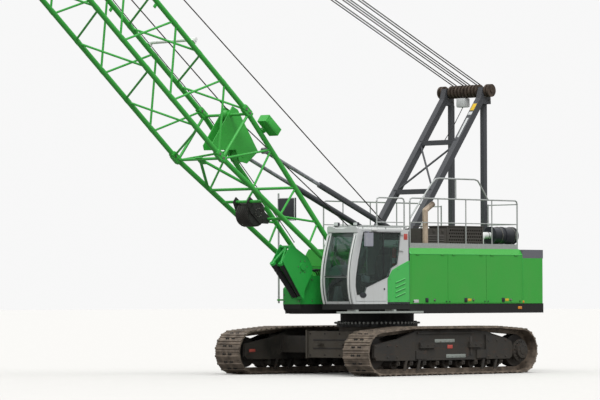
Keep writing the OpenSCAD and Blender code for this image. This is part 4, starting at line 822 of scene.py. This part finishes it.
def furnish_cab():
    """The seat, controls, lining and instruments inside the cab."""
    seat = cushion("seat_cushion", (1.41, 1.19, 2.145), (0.50, 0.46, 0.13), 0.0, 0.025, (-0.13, 0.13))
    cushion("seat_back", (1.09, 1.19, 2.50), (0.12, 0.44, 0.66), -0.14, 0.022, (-0.13, 0.13))
    cushion("seat_headrest", (1.035, 1.19, 2.93), (0.09, 0.28, 0.17), -0.14, 0.015)
    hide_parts("cab_seat")

    base = Form().boxes(0.012, (1.25, 1.0, 1.73, 1.55, 1.38, 1.80), (1.18, 0.985, 2.05, 1.62, 1.395, 2.085))
    for k in range(5):
        wider = 0.008 * (k % 2)
        base.slab((1.40, 1.19, 1.825 + 0.05 * k), (0.12 + wider, 0.16 + wider, 0.025), 0.012)
    for y in (0.90, 1.42):
        base.box((1.15, y, 2.25), (1.62, y + 0.09, 2.36), edge=0.02)
        base.box((1.25, y + 0.02, 2.05), (1.40, y + 0.07, 2.26), edge=0.01)
        for x in (1.46, 1.56):
            base.rod((x, y + 0.045, 2.36), (x + 0.02, y + 0.045, 2.52), 0.010, 12)
            base.rod((x + 0.02, y + 0.045, 2.50), (x + 0.026, y + 0.045, 2.57), 0.020, 16, 0.026)
    for y in (1.15, 1.23):
        base.rod((1.08, y, 2.80), (1.05, y, 2.90), 0.008, 12)
    base.box((1.75, 0.80, 1.73), (2.30, 0.93, 2.30), edge=0.02)
    base.prism([(1.75, 2.30), (2.30, 2.30), (2.24, 2.44), (1.86, 2.40)], 0.80, 0.93)
    base.box((2.30, 0.84, 2.36), (2.34, 1.10, 2.60), tilt(-12), 0.012)
    base.rod((2.28, 0.97, 2.20), (2.30, 0.97, 2.40), 0.016, 12)
    for y in (1.08, 1.28):
        base.box((2.18, y, 1.80), (2.42, y + 0.10, 1.825), tilt(-28), 0.008)
        base.rod((2.32, y + 0.05, 1.735), (2.32, y + 0.05, 1.82), 0.014, 12)
    base.finish("cab_controls", "upper", "plastic")

    # The cab's inner panels in black plastic; their dark colour is partly painted shade for the cab's interior seen
    # through the glass.
    Form().boxes(
        0.002, (0.80, 0.79, 1.731, 2.60, 1.63, 1.739), (0.80, 0.79, 3.378, 2.30, 1.63, 3.386),
        (0.786, 0.79, 1.75, 0.796, 1.63, 2.48), (0.786, 0.79, 3.22, 0.796, 1.63, 3.37),
        (0.80, 0.782, 1.75, 2.55, 0.790, 2.38)).finish("cab_lining", "upper", "plastic")

    screen = Form()
    screen.prism([(2.30, 2.33), (2.66, 2.33), (2.62, 2.52), (2.36, 2.60)], 0.86, 1.26)
    screen.box((2.45, 1.22, 2.34), (2.50, 1.26, 2.66), edge=0.004)
    screen.prism([(2.30, 1.76), (2.55, 1.76), (2.45, 2.10), (2.38, 2.10)], 0.90, 1.02)
    screen.box((2.26, 0.85, 2.44), (2.285, 1.06, 2.60), tilt(-14), 0.006)
    screen.box((2.02, 1.50, 2.20), (2.22, 1.60, 2.34), tilt(-10), 0.010)
    screen.finish("cab_instruments", "upper", "grey")

    x, y = 1.05, 1.50
    bottle = Form().rod((x, y, 2.60), (x, y, 2.96), 0.052, 24)
    bottle.rod((x, y, 2.96), (x, y, 3.01), 0.052, 24, 0.020).finish("fire_extinguisher", "upper", "red")
    Form().rod((x, y, 2.64), (x, y, 2.77), 0.0535, 24).finish("extinguisher_label", "upper", "white")


def add_cab_fittings():
    """The wipers, lock, mirrors, lamps, seams and screws on the outside of the cab."""
    furnish_cab()
    wipers = Form()
    for pivot, tip, start, end in (
        ((2.772, 1.44, 2.345), (2.742, 1.12, 2.74), (2.768, 1.02, 2.44), (2.675, 1.16, 3.02)),
        ((2.793, 1.40, 2.255), (2.806, 1.05, 2.10), (2.812, 1.18, 2.23), (2.800, 0.96, 1.90)),
    ):
        wipers.rod(Vector(pivot) - Vector((0.03, 0, 0)), Vector(pivot) + Vector((0.02, 0, 0)), 0.018, 16)
        wipers.rod(pivot, tip, 0.009, 10, 0.006)
        wipers.hose([start, Vector(start).lerp(Vector(end), 0.5) + Vector((0.010, 0, 0)), end], 0.008, 8)
    wipers.finish("wipers", "upper", "plastic")

    gasket = Form().hose([(x, 1.7004, z) for x, z in (
        (2.250, 2.075), (2.310, 1.925), (2.570, 1.900), (2.615, 2.100), (2.605, 2.300), (2.530, 2.680),
        (2.395, 3.170), (2.345, 3.365), (1.050, 3.365), (1.125, 2.880), (1.175, 2.625), (1.378, 2.535),
        (1.462, 2.375), (1.470, 2.330))], 0.010, 6, True)
    gasket.box((1.62, 1.664, 1.915), (1.645, 1.690, 3.36), edge=0.004)
    gasket.finish("door_gasket", "driver_door", "black")

    lock = Form()
    for wide, high, y0, y1 in ((0.113, 0.062, 1.698, 1.712), (0.092, 0.046, 1.711, 1.720)):
        lock.prism([(2.367 + wide * math.cos(a), 1.890 + high * math.sin(a)) for a in circle(32)], y0, y1)
    lock.pin(1.623, 1.698, 1.710, 2.032, 0.022, 20)
    lock.finish("door_lock", "driver_door", "plastic")

    for name, body, key, edge, row in (
        ("cab_mirror_glass", "driver_door", "mirror", 0.0015, (2.166, 1.786, 3.070, 2.170, 1.854, 3.350)),
        ("pole_mirror_glass", "upper", "mirror", 0.0015, (1.583, -1.71, 3.74, 1.5885, -1.21, 4.20)),
        ("pole_mirror_case", "upper", "plastic", 0.010, (1.5865, -1.746, 3.695, 1.646, -1.176, 4.246)),
    ):
        Form().boxes(edge, row).finish(name, body, key)
    pole = Form()
    pole.hose([(1.64, -1.735, 3.71), (1.64, -1.187, 3.71), (1.64, -1.187, 4.232), (1.64, -1.735, 4.232)],
              0.018, 12, True)
    pole.rod((1.62, -1.74, 1.70), (1.62, -1.74, 4.355), 0.0225, 20)
    for z in (1.86, 3.76, 4.18):
        pole.ring((1.62, -1.74, z), (0, 0, 1), 0.026, 0.007, 24, 8)
    pole.finish("pole_mirror_frame", "upper", "rail")

    cases, glass = Form(), Form()
    for y in (0.90, 1.52):
        cases.slab((2.395, y, 3.555), (0.035, 0.07, 0.045), 0.014)
        glass.slab((2.4325, y, 3.555), (0.0045, 0.058, 0.033), 0.003)
    cases.finish("cab_lamp_cases", "upper", "plastic")
    glass.finish("cab_lamp_lenses", "upper", "lamp")
    Form().box((0.80, 1.698, 3.20), (0.93, 1.706, 3.34), edge=0.003).finish("cab_side_plate", "upper", "red")

    dark, light = Form(), Form()
    dark.boxes(0.002, (0.736, 1.698, 1.682, 1.506, 1.708, 1.722), (0.712, 1.690, 1.70, 0.733, 1.698, 2.86),
               (2.764, 0.865, 2.317, 2.792, 1.565, 2.344))
    dark.box((0.736, 1.6995, 1.722), (0.762, 1.7035, 3.40), edge=0.001)
    shares = [k / 12 for k in range(12)]
    curve = [(2.690 - 0.185 * t + 4 * t * (1 - t) * (0.215 - 0.110 * t), 1.68 + 1.76 * t) for t in shares]
    for low, high in ((0.796, 0.822), (1.577, 1.594), (1.645, 1.660)):
        dark.prism([(x - 0.010, z) for x, z in curve] + [(x + 0.003, z) for x, z in curve[::-1]], low, high)
    # Louvres of the cab panel: the thin black sheets in the slots are painted shade, and the pale green strips along
    # the blade edges are painted highlight.
    for k in range(4):
        z = 1.821 + 0.112 * k
        dark.prism([(1.24, z), (1.24, z + 0.012), (0.90, z + 0.112), (0.90, z + 0.100)], 1.711, 1.7135)
        z += 0.028
        light.prism([(1.238, z), (1.238, z + 0.011), (0.902, z + 0.110), (0.902, z + 0.099)], 1.7245, 1.7275)
    dark.finish("cab_dark_strips", "upper", "plastic")
    light.finish("panel_louvre_painted_highlights", "upper", "lit_green")
    Form().box((1.89, 1.700, 3.402), (2.08, 1.736, 3.474), edge=0.010).finish("roof_lamp_case", "upper", "bright")

    screws = Form().bolts(0.016, (0, 1, 0), *((x, 1.712, z) for x, z in (
        (0.78, 1.76), (1.47, 1.76), (0.78, 2.64), (1.16, 2.50), (1.44, 2.26), (1.13, 1.76))))
    screws.bolts(0.018, (0, 0, 1), *((x, 1.735, 1.4645) for x in (0.66, 1.28, 1.90, 2.60, 3.20)))
    screws.finish("cab_screws", "upper", "bare")


# Boom

def add_boom_fittings():
    """The pins, gussets, cable, rollers, painted highlight on the winch drum, rope bracket and box lid of the boom."""
    pins, gussets = Form(), Form()
    for y, t in CHORDS:
        for s in SECTION_ENDS:
            for ds in (-0.075, 0.075):
                pins.pin(s + ds, y - 0.072, y + 0.072, t, 0.030, 20)
                for dy in (-0.055, 0.055):
                    pins.ring((s + ds, y + dy, t), (0, 1, 0), 0.034, 0.006, 20, 6)
            for ds in (-0.12, 0.12):
                gussets.slab((s + ds, y, t), (0.055, 0.066, 0.062), 0.012)
        for s in [5.8 + k for k in range(7)] + [11.8 + k for k in range(4)]:
            gussets.rod((s - 0.05, y, t), (s + 0.05, y, t), 0.064, 24)
    for y in (-0.62, 0.62):
        pins.pin(0, y - 0.075, y + 0.075, 0, 0.075, 32)
    for y in (-CHORD_Y, CHORD_Y):
        gussets.slab((9.5, y, 0.58), (0.04, 0.012, 0.055), 0.006)
    pins.finish_on_boom("boom_pins", "bare")
    gussets.finish_on_boom("boom_gussets", "boom")

    cable = Form()
    points = []
    base_end, _, head_start = SECTION_ENDS
    for k in range(60):
        s = 1.6 + k * 0.32
        share = min(s, base_end) / base_end
        wide, lift = 0.62 + 0.10 * share, 0.02 + 0.665 * share
        if s > head_start:
            share = (s - head_start) / 6.7
            wide, lift = CHORD_Y - 0.42 * share, CHORD_T - 0.425 * share
        points.append((s, -wide + 0.03, lift + 0.078 + 0.006 * math.sin(k * 1.3)))
    cable.hose(points, 0.011, 8)
    for p in points[::3]:
        cable.ring(p, (1, 0, 0), 0.013, 0.005, 12, 6)
    cable.finish_on_boom("boom_cable", "black")

    rollers = Form().pin(12.6, -0.70, 0.70, 0.735, 0.026)
    for y in (-0.30, 0.0):
        rollers.pin(12.6, y - 0.13, y + 0.13, 0.79, 0.045, 24)
        for dy in (-0.14, 0.14):
            rollers.slab((12.6, y + dy, 0.775), (0.04, 0.008, 0.055), 0.004)
    rollers.finish_on_boom("boom_rope_rollers", "sheave")

    s, t = BOOM_WINCH
    # A thin bright white arc over the top of the winch drum: painted highlight on the drum's upper side.
    rim = [(0.305, math.radians(a)) for a in range(30, 111, 10)]
    rim += [(0.325, a) for _, a in rim[::-1]]
    top_highlight = Form().prism([(s + ds, t + dt) for ds, dt in (polar(*spot) for spot in rim)], -0.205, 0.205)
    top_highlight.finish_on_boom("winch_top_painted_highlight", "bright")
    Form().hose(winding(BOOM_WINCH, DRUM_RADIUS, 0.19, 15, 20), 0.012, 6).finish_on_boom("winch_winding", "wound")
    flange = Form()
    for y in (-0.242, 0.242):
        flange.bolt_circle(0.022, y, (s, t + 0.04), y, 0.10, 10)
    flange.finish_on_boom("winch_bolts", "bare")

    s, t = BRACKET_WHEEL
    bracket = Form().pin(s, 0.115, 0.285, t, 0.030, 20)
    for y in (0.128, 0.258):
        bracket.prism([(20.02, 0.35), (20.12, 0.37), (20.38, 0.76), (20.44, 0.76), (20.66, 0.35), (20.76, 0.31),
                       (20.50, 0.98), (20.30, 0.98)], y, y + 0.014)
    bracket.pin(20.07, -0.39, 0.39, 0.352, 0.028)
    bracket.pin(20.71, -0.35, 0.35, 0.310, 0.028)
    bracket.finish_on_boom("rope_bracket", "boom")
    wheel = Form()
    for y, wide, radius in ((0.162, 0.018, 0.178), (0.180, 0.040, 0.158), (0.220, 0.018, 0.178)):
        wheel.pin(s, y, y + wide, t, radius, 40)
    wheel.finish_on_boom("bracket_sheave", "sheave")

    lid = Form().box((4.92, 1.018, 0.735), (5.36, 1.027, 0.890), edge=0.004)
    lid.bolts(0.014, (0, 1, 0), *((s, 1.027, t) for s in (4.95, 5.33) for t in (0.76, 0.865)))
    lid.finish_on_boom("boom_box_lid", "boom")


# A-frame, nose and tank

def add_frame_fittings():
    """The pins, block and blank plates of the A-frame, the fittings of the nose and the tank, and a painted shade strip
    at the fairlead.
    """
    foot = Vector((0.56, 0, 1.94))
    way = (Vector((APEX[0], 0, APEX[1])) - foot).normalized()
    normal = Vector((way.z, 0, -way.x))
    lean = Matrix.Rotation(math.atan2(way.x, way.z), 4, "Y")
    plates = {"yellow": Form(), "white": Form()}
    for key, along, wide, high in (("yellow", 5.75, 0.06, 0.22), ("white", 5.55, 0.06, 0.10),
                                   ("white", 5.09, 0.032, 0.62)):
        spot = foot + way * along + Vector((0, 0.6, 0)) + normal * 0.0805
        half = Vector((0.003, wide, high / 2))
        plates[key].box(spot - half, spot + half, lean, 0.0015)
    for key, form in plates.items():
        form.finish(f"leg_plates_{key}", "upper", key)

    x, z = APEX
    Form().box((x - 0.08, -0.22, 6.56), (x + 0.14, 0.06, 6.79), edge=0.03).finish("apex_block", "upper", "white")
    Form().hose([(x + 0.03, -0.06, 6.60), (x + 0.36, -0.10, 6.10), (x + 0.72, -0.14, 5.66)], 0.010, 8).finish(
        "apex_cable", "upper", "black")

    pins = Form()
    for y in (-0.6, 0.6):
        pins.pin(0.56, y - 0.13, y + 0.13, 2.0, 0.045, 24)
        for e in (-0.12, 0.12):
            pins.ring((0.56, y + e, 2.0), (0, 1, 0), 0.050, 0.010, 24, 8)
        for e in (-0.085, 0.085):
            pins.bolts(0.030, (0, e, 0), *(
                (x + dx, y + e, z - 0.18 + dz) for dx, dz in ((-0.06, 0.05), (0.09, 0.02), (-0.08, -0.05))))
    for y in (-0.73, -0.51, 0.51, 0.73):
        pins.ring((FOOT_PIN[0], y, FOOT_PIN[1]), (0, 1, 0), 0.066, 0.010, 28, 8)
    for y in (-0.365, 0.365):
        pins.ring((-0.33, y, 3.36), (0, 1, 0), 0.044, 0.009, 24, 8)
    pins.finish("frame_pins", "upper", "bare")

    nose = Form().bolts(0.026, (1, 0, 0), *((3.0, y, z) for y in (-0.24, 0.24) for z in (1.75, 1.90)))
    for y in (-0.28, 0.28):
        nose.bolts(0.024, (0, y, 0), *((x, y, z) for x in (2.0, 2.3, 2.6) for z in (1.76, 2.26)))
    for y in (0.119, 0.461):
        nose.bolt_circle(0.020, y - 0.29, (3.11, 2.56), y, 0.15, 6)
    nose.finish("nose_bolts", "upper", "bare")
    # A thin black strip along the fairlead rollers, between the nose plates: painted shade where the rollers lie in
    # shade.
    Form().prism([(3.735, 2.575), (3.105, 1.858), (3.130, 1.836), (3.760, 2.553)], 0.228, 0.292).finish(
        "fairlead_painted_shade_strip", "upper", "black")

    hoses = Form()
    for k in range(4):
        y = -0.10 + 0.06 * k
        hoses.hose([(1.95 + 0.02 * k, y, 2.28), (2.05, y, 2.44 + 0.02 * k), (2.25, y, 2.50), (2.50, y, 2.46),
                    (2.72, y, 2.24), (2.86, y, 2.02)], 0.016, 10)
    for k in range(3):
        y = -0.36 - 0.05 * k
        hoses.hose([(0.80, y, 1.70), (0.95, y, 1.86 + 0.03 * k), (1.15, y, 1.90), (1.40, y, 1.80), (1.62, y, 1.72)],
                   0.015, 10)
    hoses.finish("nose_hoses", "upper", "black")

    tank = Form()
    tank.rod((1.1, -1.3, 2.575), (1.1, -1.3, 2.62), 0.07, 28)
    tank.rod((1.1, -1.3, 2.62), (1.1, -1.3, 2.64), 0.078, 28, 0.070)
    for k in range(3):
        tank.slab((1.09, -1.51 + 0.24 * k, 2.584), (0.33, 0.01, 0.006), 0.003)
    tank.hose([(1.452, -1.50, 1.95), (1.50, -1.50, 1.95), (1.50, -1.20, 1.95), (1.452, -1.20, 1.95)], 0.011)
    tank.finish("tank_fittings", "upper", "band")


# Studio

SUN_WAY = (-0.42, -0.52, -0.74)
CAMERA_PLACE = (64.6, 58.49, 1.81)
# The way that the camera looks, in degrees: round from the Y axis, up, and rolled.
CAMERA_TURN = (46.62, 1.57, -0.15)


def set_stage(lens_mm):
    """The floor, the sky, the soft sun and the camera."""
    scene = bpy.context.scene
    mesh = bpy.data.meshes.new("studio_floor")
    build = bmesh.new()
    bmesh.ops.create_grid(build, x_segments=1, y_segments=1, size=400)
    build.to_mesh(mesh)
    build.free()
    floor = bpy.data.objects.new("studio_floor", mesh)
    scene.collection.objects.link(floor)
    floor.location.z = -0.004
    mesh.materials.append(studio_paper())

    world = bpy.data.worlds.new("studio_world")
    world.use_nodes = True
    scene.world = world
    tree = world.node_tree
    back = tree.nodes["Background"]
    rays = node(tree, "ShaderNodeLightPath")
    way = node(tree, "ShaderNodeTexCoord").outputs["Generated"]
    lift = node(tree, "ShaderNodeSeparateXYZ", [(0, way)]).outputs["Z"]
    sky = node(tree, "ShaderNodeMapRange", [("Value", lift)], in_1=0.0, in_2=0.95, in_3=0.345, in_4=1.53)
    strength = node(tree, "ShaderNodeMix", [(0, rays.outputs["Is Camera Ray"]), (2, sky.outputs[0])], in_3=0.97)
    tree.links.new(strength.outputs[0], back.inputs["Strength"])
    back.inputs["Color"].default_value = linear("fbfbfb")

    sun = bpy.data.lights.new("soft_sun", "SUN")
    sun.energy = 1.8
    sun.angle = math.radians(28)
    made = bpy.data.objects.new("soft_sun", sun)
    made.rotation_euler = Vector(SUN_WAY).to_track_quat("-Z", "Y").to_euler()
    scene.collection.objects.link(made)

    lens_data = bpy.data.cameras.new("photo_camera")
    lens_data.lens = lens_mm
    lens_data.sensor_width = 36.0
    lens_data.clip_end = 2000
    made = bpy.data.objects.new("photo_camera", lens_data)
    side, rise, roll = (math.radians(a) for a in CAMERA_TURN)
    forward = Vector((-math.sin(side) * math.cos(rise), -math.cos(side) * math.cos(rise), math.sin(rise)))
    right = Vector((-math.cos(side), math.sin(side), 0))
    up = right.cross(forward)
    right, up = right * math.cos(roll) + up * math.sin(roll), up * math.cos(roll) - right * math.sin(roll)
    turn = Matrix((right, up, -forward)).transposed().to_4x4()
    made.matrix_world = Matrix.Translation(CAMERA_PLACE) @ turn
    scene.collection.objects.link(made)
    scene.camera = made
    scene.view_settings.view_transform = "Standard"


# Add-on

class CraneSettings(bpy.types.PropertyGroup):
    """Sizes and colours that a user would change."""

    lens_mm: bpy.props.FloatProperty(
        name="Lens", description="Focal length of the camera in millimetres", default=216.0, min=50.0,
        unit="CAMERA")
    rope_d: bpy.props.FloatProperty(
        name="Rope diameter", description="Diameter of the hoist and luffing ropes", default=0.028, min=0.01,
        unit="LENGTH", subtype="DISTANCE")
    shoe_bolts: bpy.props.IntProperty(
        name="Bolt pairs per shoe", description="Pairs of bolt heads on each track shoe", default=2, min=0, max=8)
    house_green: bpy.props.FloatVectorProperty(
        name="House green", description="Enamel of the house, its doors and the slabs", subtype="COLOR",
        min=0.0, max=1.0, default=linear("33a238")[:3])
    boom_green: bpy.props.FloatVectorProperty(
        name="Boom green", description="Enamel of the boom", subtype="COLOR", min=0.0, max=1.0,
        default=linear("34a63c")[:3])
    cab_white: bpy.props.FloatVectorProperty(
        name="Cab white", description="Enamel of the cab", subtype="COLOR", min=0.0, max=1.0,
        default=linear("c4c7c7")[:3])


class CRANE_OT_stage(bpy.types.Operator):
    """Sets the floor, the lights and the camera."""

    bl_idname = "crane.stage"
    bl_label = "Studio"

    def execute(self, context):
        set_stage(context.scene.crane_settings.lens_mm)
        return {"FINISHED"}


class CRANE_OT_cad_finishes(bpy.types.Operator):
    """Paints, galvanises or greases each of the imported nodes."""

    bl_idname = "crane.cad_finishes"
    bl_label = "Finishes of the main pieces"

    def execute(self, context):
        finish_nodes()
        return {"FINISHED"}


class CRANE_OT_ropes(bpy.types.Operator):
    """Strings the hoist ropes and the luffing ropes, and winds rope on the drums."""

    bl_idname = "crane.ropes"
    bl_label = "Ropes"

    def execute(self, context):
        string_ropes(context.scene.crane_settings.rope_d / 2)
        return {"FINISHED"}


class CRANE_OT_tracks(bpy.types.Operator):
    """Adds the bolts, hoses and small plates of the tracks and the carbody."""

    bl_idname = "crane.tracks"
    bl_label = "Track fittings"

    def execute(self, context):
        add_track_fittings(context.scene.crane_settings.shoe_bolts)
        return {"FINISHED"}


class CRANE_OT_house(bpy.types.Operator):
    """Adds the latches, lamps, joints and roof fittings of the machinery house."""

    bl_idname = "crane.house"
    bl_label = "House fittings"

    def execute(self, context):
        add_house_fittings()
        return {"FINISHED"}


class CRANE_OT_cab(bpy.types.Operator):
    """Furnishes the cab: seat, levers, instruments, wipers, lock, mirrors and lamps."""

    bl_idname = "crane.cab"
    bl_label = "Cab fittings"

    def execute(self, context):
        add_cab_fittings()
        return {"FINISHED"}


class CRANE_OT_boom(bpy.types.Operator):
    """Pins the boom's sections, and adds its cable, rollers, a painted highlight on its winch drum and its rope
    bracket.
    """

    bl_idname = "crane.boom"
    bl_label = "Boom fittings"

    def execute(self, context):
        add_boom_fittings()
        return {"FINISHED"}


class CRANE_OT_frame_fittings(bpy.types.Operator):
    """Adds the pins and blank plates of the A-frame, the fittings of the nose and the tank, and a painted shade strip
    at the fairlead.
    """

    bl_idname = "crane.frame_fittings"
    bl_label = "A-frame and nose fittings"

    def execute(self, context):
        add_frame_fittings()
        return {"FINISHED"}


class CRANE_PT_looks(bpy.types.Panel):
    """Lists the steps in the 3D view's sidebar."""

    bl_idname = "CRANE_PT_looks"
    bl_label = "Crane looks"
    bl_space_type = "VIEW_3D"
    bl_region_type = "UI"
    bl_category = "Crane"

    def draw(self, context):
        for step in STEPS:
            self.layout.operator(step.bl_idname)


STEPS = [CRANE_OT_stage, CRANE_OT_cad_finishes, CRANE_OT_ropes, CRANE_OT_tracks, CRANE_OT_house, CRANE_OT_cab,
         CRANE_OT_boom, CRANE_OT_frame_fittings]
CLASSES = [CraneSettings, *STEPS, CRANE_PT_looks]


def register():
    for made in CLASSES:
        bpy.utils.register_class(made)
    bpy.types.Scene.crane_settings = bpy.props.PointerProperty(type=CraneSettings)


def unregister():
    del bpy.types.Scene.crane_settings
    for made in reversed(CLASSES):
        bpy.utils.unregister_class(made)


def main():
    register()
    for step in STEPS:
        group, name = step.bl_idname.split(".")
        getattr(getattr(bpy.ops, group), name)()


if __name__ == "__main__":
    main()
